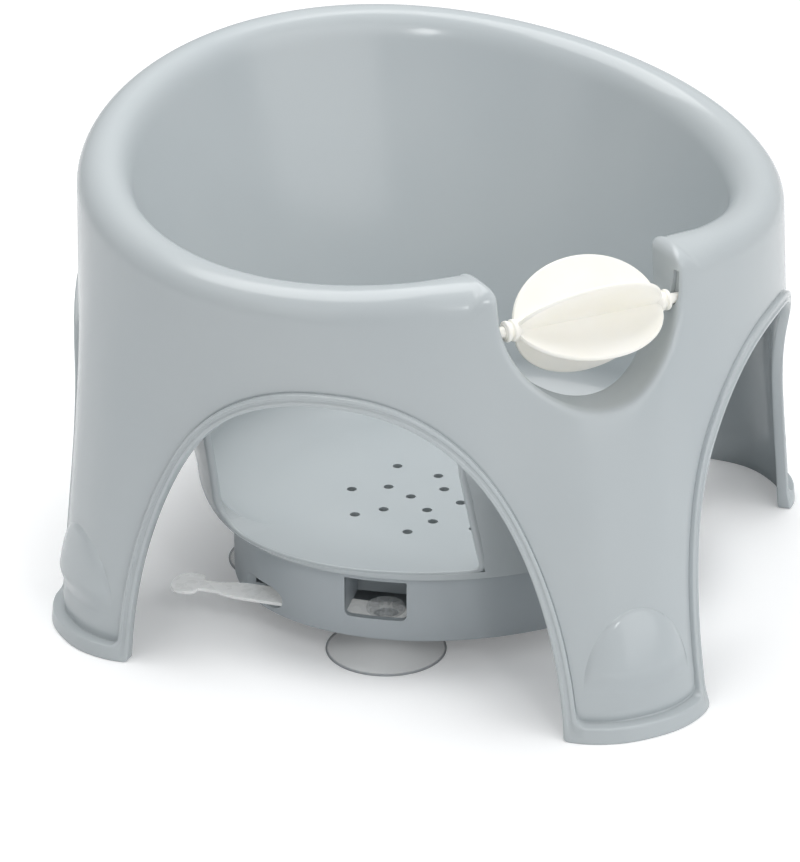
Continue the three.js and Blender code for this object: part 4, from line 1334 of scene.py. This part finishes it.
cup = {
    "profile": [
        (0, 6.4), (7.5, 6.4), (9.5, 6.2), (13, 4.8), (18, 2.2), (23, 0.7), (25.3, 0.0), (25.9, 0.0),
        (26.0, 0.35), (25.9, 0.8), (24.6, 1.1), (20, 2.8), (15, 5.3), (11, 7.9), (9, 9.1), (7.5, 9.5),
        (5.5, 9.6), (5.2, 9.9), (5.2, 17.4), (5.6, 18.3), (7.6, 18.4), (8.4, 18.7), (8.5, 19.5),
        (8.4, 20.5), (7.7, 21.3), (6.9, 21.2), (6.3, 20.4), (5.6, 20.0), (4.6, 20.0), (3.9, 20.3),
        (3.5, 21.0), (2.6, 21.4), (0, 21.45),
    ],
    "segments": 88, "ribs": 8, "ribInside": 3.1, "ribOutside": 7.6, "ribWidth": 0.8,
    "ribTop": 21.0, "ribFoot": 19.2, "ribBevel": 0.3,
}


def ribMesh():
    near, far, half = cup["ribInside"], cup["ribOutside"], cup["ribWidth"] / 2
    low, high = cup["ribFoot"], cup["ribTop"]
    side = [(half, low), (half, high - cup["ribBevel"]), (half / 2, high)]
    section = [(-half, low)] + side + [(-half / 2, high), (-half, high - cup["ribBevel"])]
    rings = [[(x, y, z) for y, z in section] for x in np.linspace(near, far, 4)]
    return stackedRings("headRib", np.array(rings), 50)


def suctionCup(name, side, end):
    centre = cupCentre(side, end)
    profile = chaikin(cup["profile"], 2)
    piece = linkObject(name, turnedProfile(name, profile, centre, cup["segments"], 50), clearRubber)
    ribs = linkObject(name + "Ribs", ribMesh(), clearRubber)
    growPiece(ribs, "headRibs", clearRubber, turnedInputs(cup["ribs"], centre * mm), turnedCopies("Z"))
    rework(piece.data, [ribs.data], turnOut=False)
    discard(ribs)
    smoothShade(piece.data, 50)
    return piece


for name, side, end, body in (
    ("front_left", -1, -1, "cup_front_left"), ("front_right", 1, -1, "cup_front_right"),
    ("rear_left", -1, 1, "frame"), ("rear_right", 1, 1, "frame"),
):
    piece = suctionCup("cup_" + name, side, end)
    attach(piece, body)
    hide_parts("suction_cup_" + name)
print("suction cups made")


# Release levers: flat straps with an eye, shoulders at the slot and an ear to press

lever = {
    "bottom": 16.4, "thickness": 1.6, "edge": 0.35, "eyeRadius": 5.6, "eyeOuter": 9.0, "width": 14,
    "neckWidth": 8, "earWidth": 18, "earLength": 13, "reach": 97,
}


def leverOutline():
    half, neck, ear = lever["width"] / 2, lever["neckWidth"] / 2, lever["earWidth"] / 2
    reach = lever["reach"]
    earStart = reach - lever["earLength"]
    earMiddle = earStart + lever["earLength"] / 2
    neckAt = earStart - lever["neckWidth"]
    eye = lever["eyeOuter"]
    turn = math.asin(half / eye)
    outline = [(eye * math.cos(a), eye * math.sin(a)) for a in np.linspace(turn, tau - turn, 48)]
    # bends of one edge from the eye to the end, each from a point toward a second to a third
    bends = [
        ((neckAt - lever["width"], -half), (neckAt - half, -half), (neckAt, -neck)),
        ((earStart, -neck), (earStart, -ear), (earMiddle, -ear)),
        ((earMiddle, -ear), (reach, -ear), (reach, 0)),
    ]
    bends += [[(x, -y) for x, y in bend[::-1]] for bend in bends[::-1]]
    for start, middle, end in bends:
        if outline[-1] != start:
            outline.append(start)
        for t in np.linspace(0, 1, 12)[1:]:
            a, b, c = np.array([start, middle, end])
            outline.append(tuple((1 - t) ** 2 * a + 2 * t * (1 - t) * b + t * t * c))
    return outline


def releaseLever(name, side):
    turns = np.linspace(0, tau, 48, endpoint=False)
    eye = lever["eyeRadius"] * np.column_stack([np.cos(turns), np.sin(turns)])
    loops = [[(x * mm, y * mm, 0) for x, y in outline] for outline in (leverOutline(), eye)]
    source = loopCurve(name, "2D", [(loop, [1] * len(loop)) for loop in loops])
    curve = source.data
    curve.fill_mode = "BOTH"
    curve.extrude = (lever["thickness"] / 2 - lever["edge"]) * mm
    curve.bevel_depth = lever["edge"] * mm
    curve.bevel_resolution = 3
    curve.offset = -lever["edge"] * mm
    mesh = curveMesh(source)
    x, y, _ = cupCentre(side, -1) * mm
    height = (lever["bottom"] + lever["thickness"] / 2) * mm
    mesh.transform(Matrix.Translation((x, y, height)) @ Matrix.Rotation(math.atan2(1, side), 4, "Z"))
    rework(mesh, weld=0.002)
    smoothShade(mesh, 35)
    return linkObject(name, mesh, frostedPlastic)


for name, side in (("left", -1), ("right", 1)):
    piece = releaseLever("lever_strap_" + name, side)
    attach(piece, "lever_" + name)
    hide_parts("release_lever_" + name)
print("levers made")


# Play roller: five fins with filleted valleys, ribbed hubs and pins

roller = {
    "fins": 5, "phase": 49, "radius": 25, "halfLength": 33.6, "core": 3.6, "tipHalf": 0.95, "filletLength": 9,
    "endReach": 3.9, "coreShare": 0.8, "tipShare": 0.98, "leastFlank": 0.05,
    "stations": 84, "flankPoints": 16, "tipPoints": 9, "flankCrowding": 1.5,
    "hub": [
        (30.0, 0), (30.0, 3.4), (32.0, 4.0), (33.4, 4.5), (34.6, 4.6), (35.0, 4.3), (35.2, 3.5),
        (36.2, 3.4), (36.3, 4.1), (36.6, 4.4), (37.6, 4.4), (38.0, 4.1), (38.2, 3.2), (38.5, 3.1),
        (38.55, 2.2), (45.0, 2.2), (45.5, 1.7), (45.5, 0),
    ],
}


def finOutline(reach):
    # half a sector: from the valley to the tip, as distance out along the fin and half thickness
    core = min(roller["core"], reach * roller["coreShare"])
    half = math.pi / roller["fins"]
    startOut, startHalf = core * math.cos(half), core * math.sin(half)
    tipOut = max(reach - roller["tipHalf"], startOut + roller["leastFlank"])
    tipHalf = min(roller["tipHalf"], startHalf * roller["tipShare"])
    fillet = min(roller["filletLength"], max(tipOut - startOut, roller["leastFlank"]))
    points = []
    for t in np.linspace(0, 1, roller["flankPoints"]) ** roller["flankCrowding"]:
        out = mix(startOut, tipOut, t)
        bow = max(1 - (out - startOut) / fillet, 0) ** 3
        points.append((out, tipHalf + (startHalf - tipHalf) * bow))
    for turn in quarter(roller["tipPoints"])[1:]:
        points.append((tipOut + (reach - tipOut) * math.sin(turn), tipHalf * math.cos(turn)))
    return np.array(points)


def finSector():
    rows = []
    for turn in np.linspace(0, np.pi, roller["stations"] + 1):
        x = -roller["halfLength"] * math.cos(turn)
        reach = max(roller["radius"] * math.sin(turn), roller["endReach"])
        half = finOutline(reach)
        outline = np.concatenate([half, (half * (1, -1))[::-1][1:]])
        rows.append([(x, 0, 0)] + [(x, side, out) for out, side in outline])
    rows = np.array(rows)
    stations, count = rows.shape[:2]
    faces = [(i * count + j, (i + 1) * count + j, (i + 1) * count + j + 1, i * count + j + 1)
             for i in range(stations - 1) for j in range(1, count - 1)]
    for i in (0, stations - 1):
        faces += [(i * count, i * count + j, i * count + j + 1) for j in range(1, count - 1)]
    mesh = bpy.data.meshes.new("finSector")
    mesh.from_pydata((rows.reshape(-1, 3) * mm).tolist(), [], faces)
    return mesh


def playRoller():
    piece = linkObject("finnedRoller", finSector(), creamPlastic)
    axle = (0, notch["axleY"] * mm, notch["axleHeight"] * mm)
    # a fin at angle p above the front stands at 90 - p from straight up, toward the front
    phase = (90 - roller["phase"]) * deg
    growPiece(piece, "rollerFins", creamPlastic, turnedInputs(roller["fins"], axle, phase), turnedCopies("X"))
    profile = chaikin([(radius, x) for x, radius in roller["hub"]], 1)
    hubs = []
    for side in (-1, 1):
        hub = turnedProfile("hub", profile, (0, 0, 0), 40, 40)
        hub.transform(Matrix.Translation(axle) @ Matrix.Rotation(side * math.pi / 2, 4, "Y"))
        hubs.append(hub)
    rework(piece.data, hubs)
    for hub in hubs:
        bpy.data.meshes.remove(hub)
    smoothShade(piece.data, 40)
    return piece


finnedRoller = playRoller()
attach(finnedRoller, "roller")
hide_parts("play_roller")
print("roller made")

scene = bpy.context.scene
scene.view_settings.view_transform = "Standard"
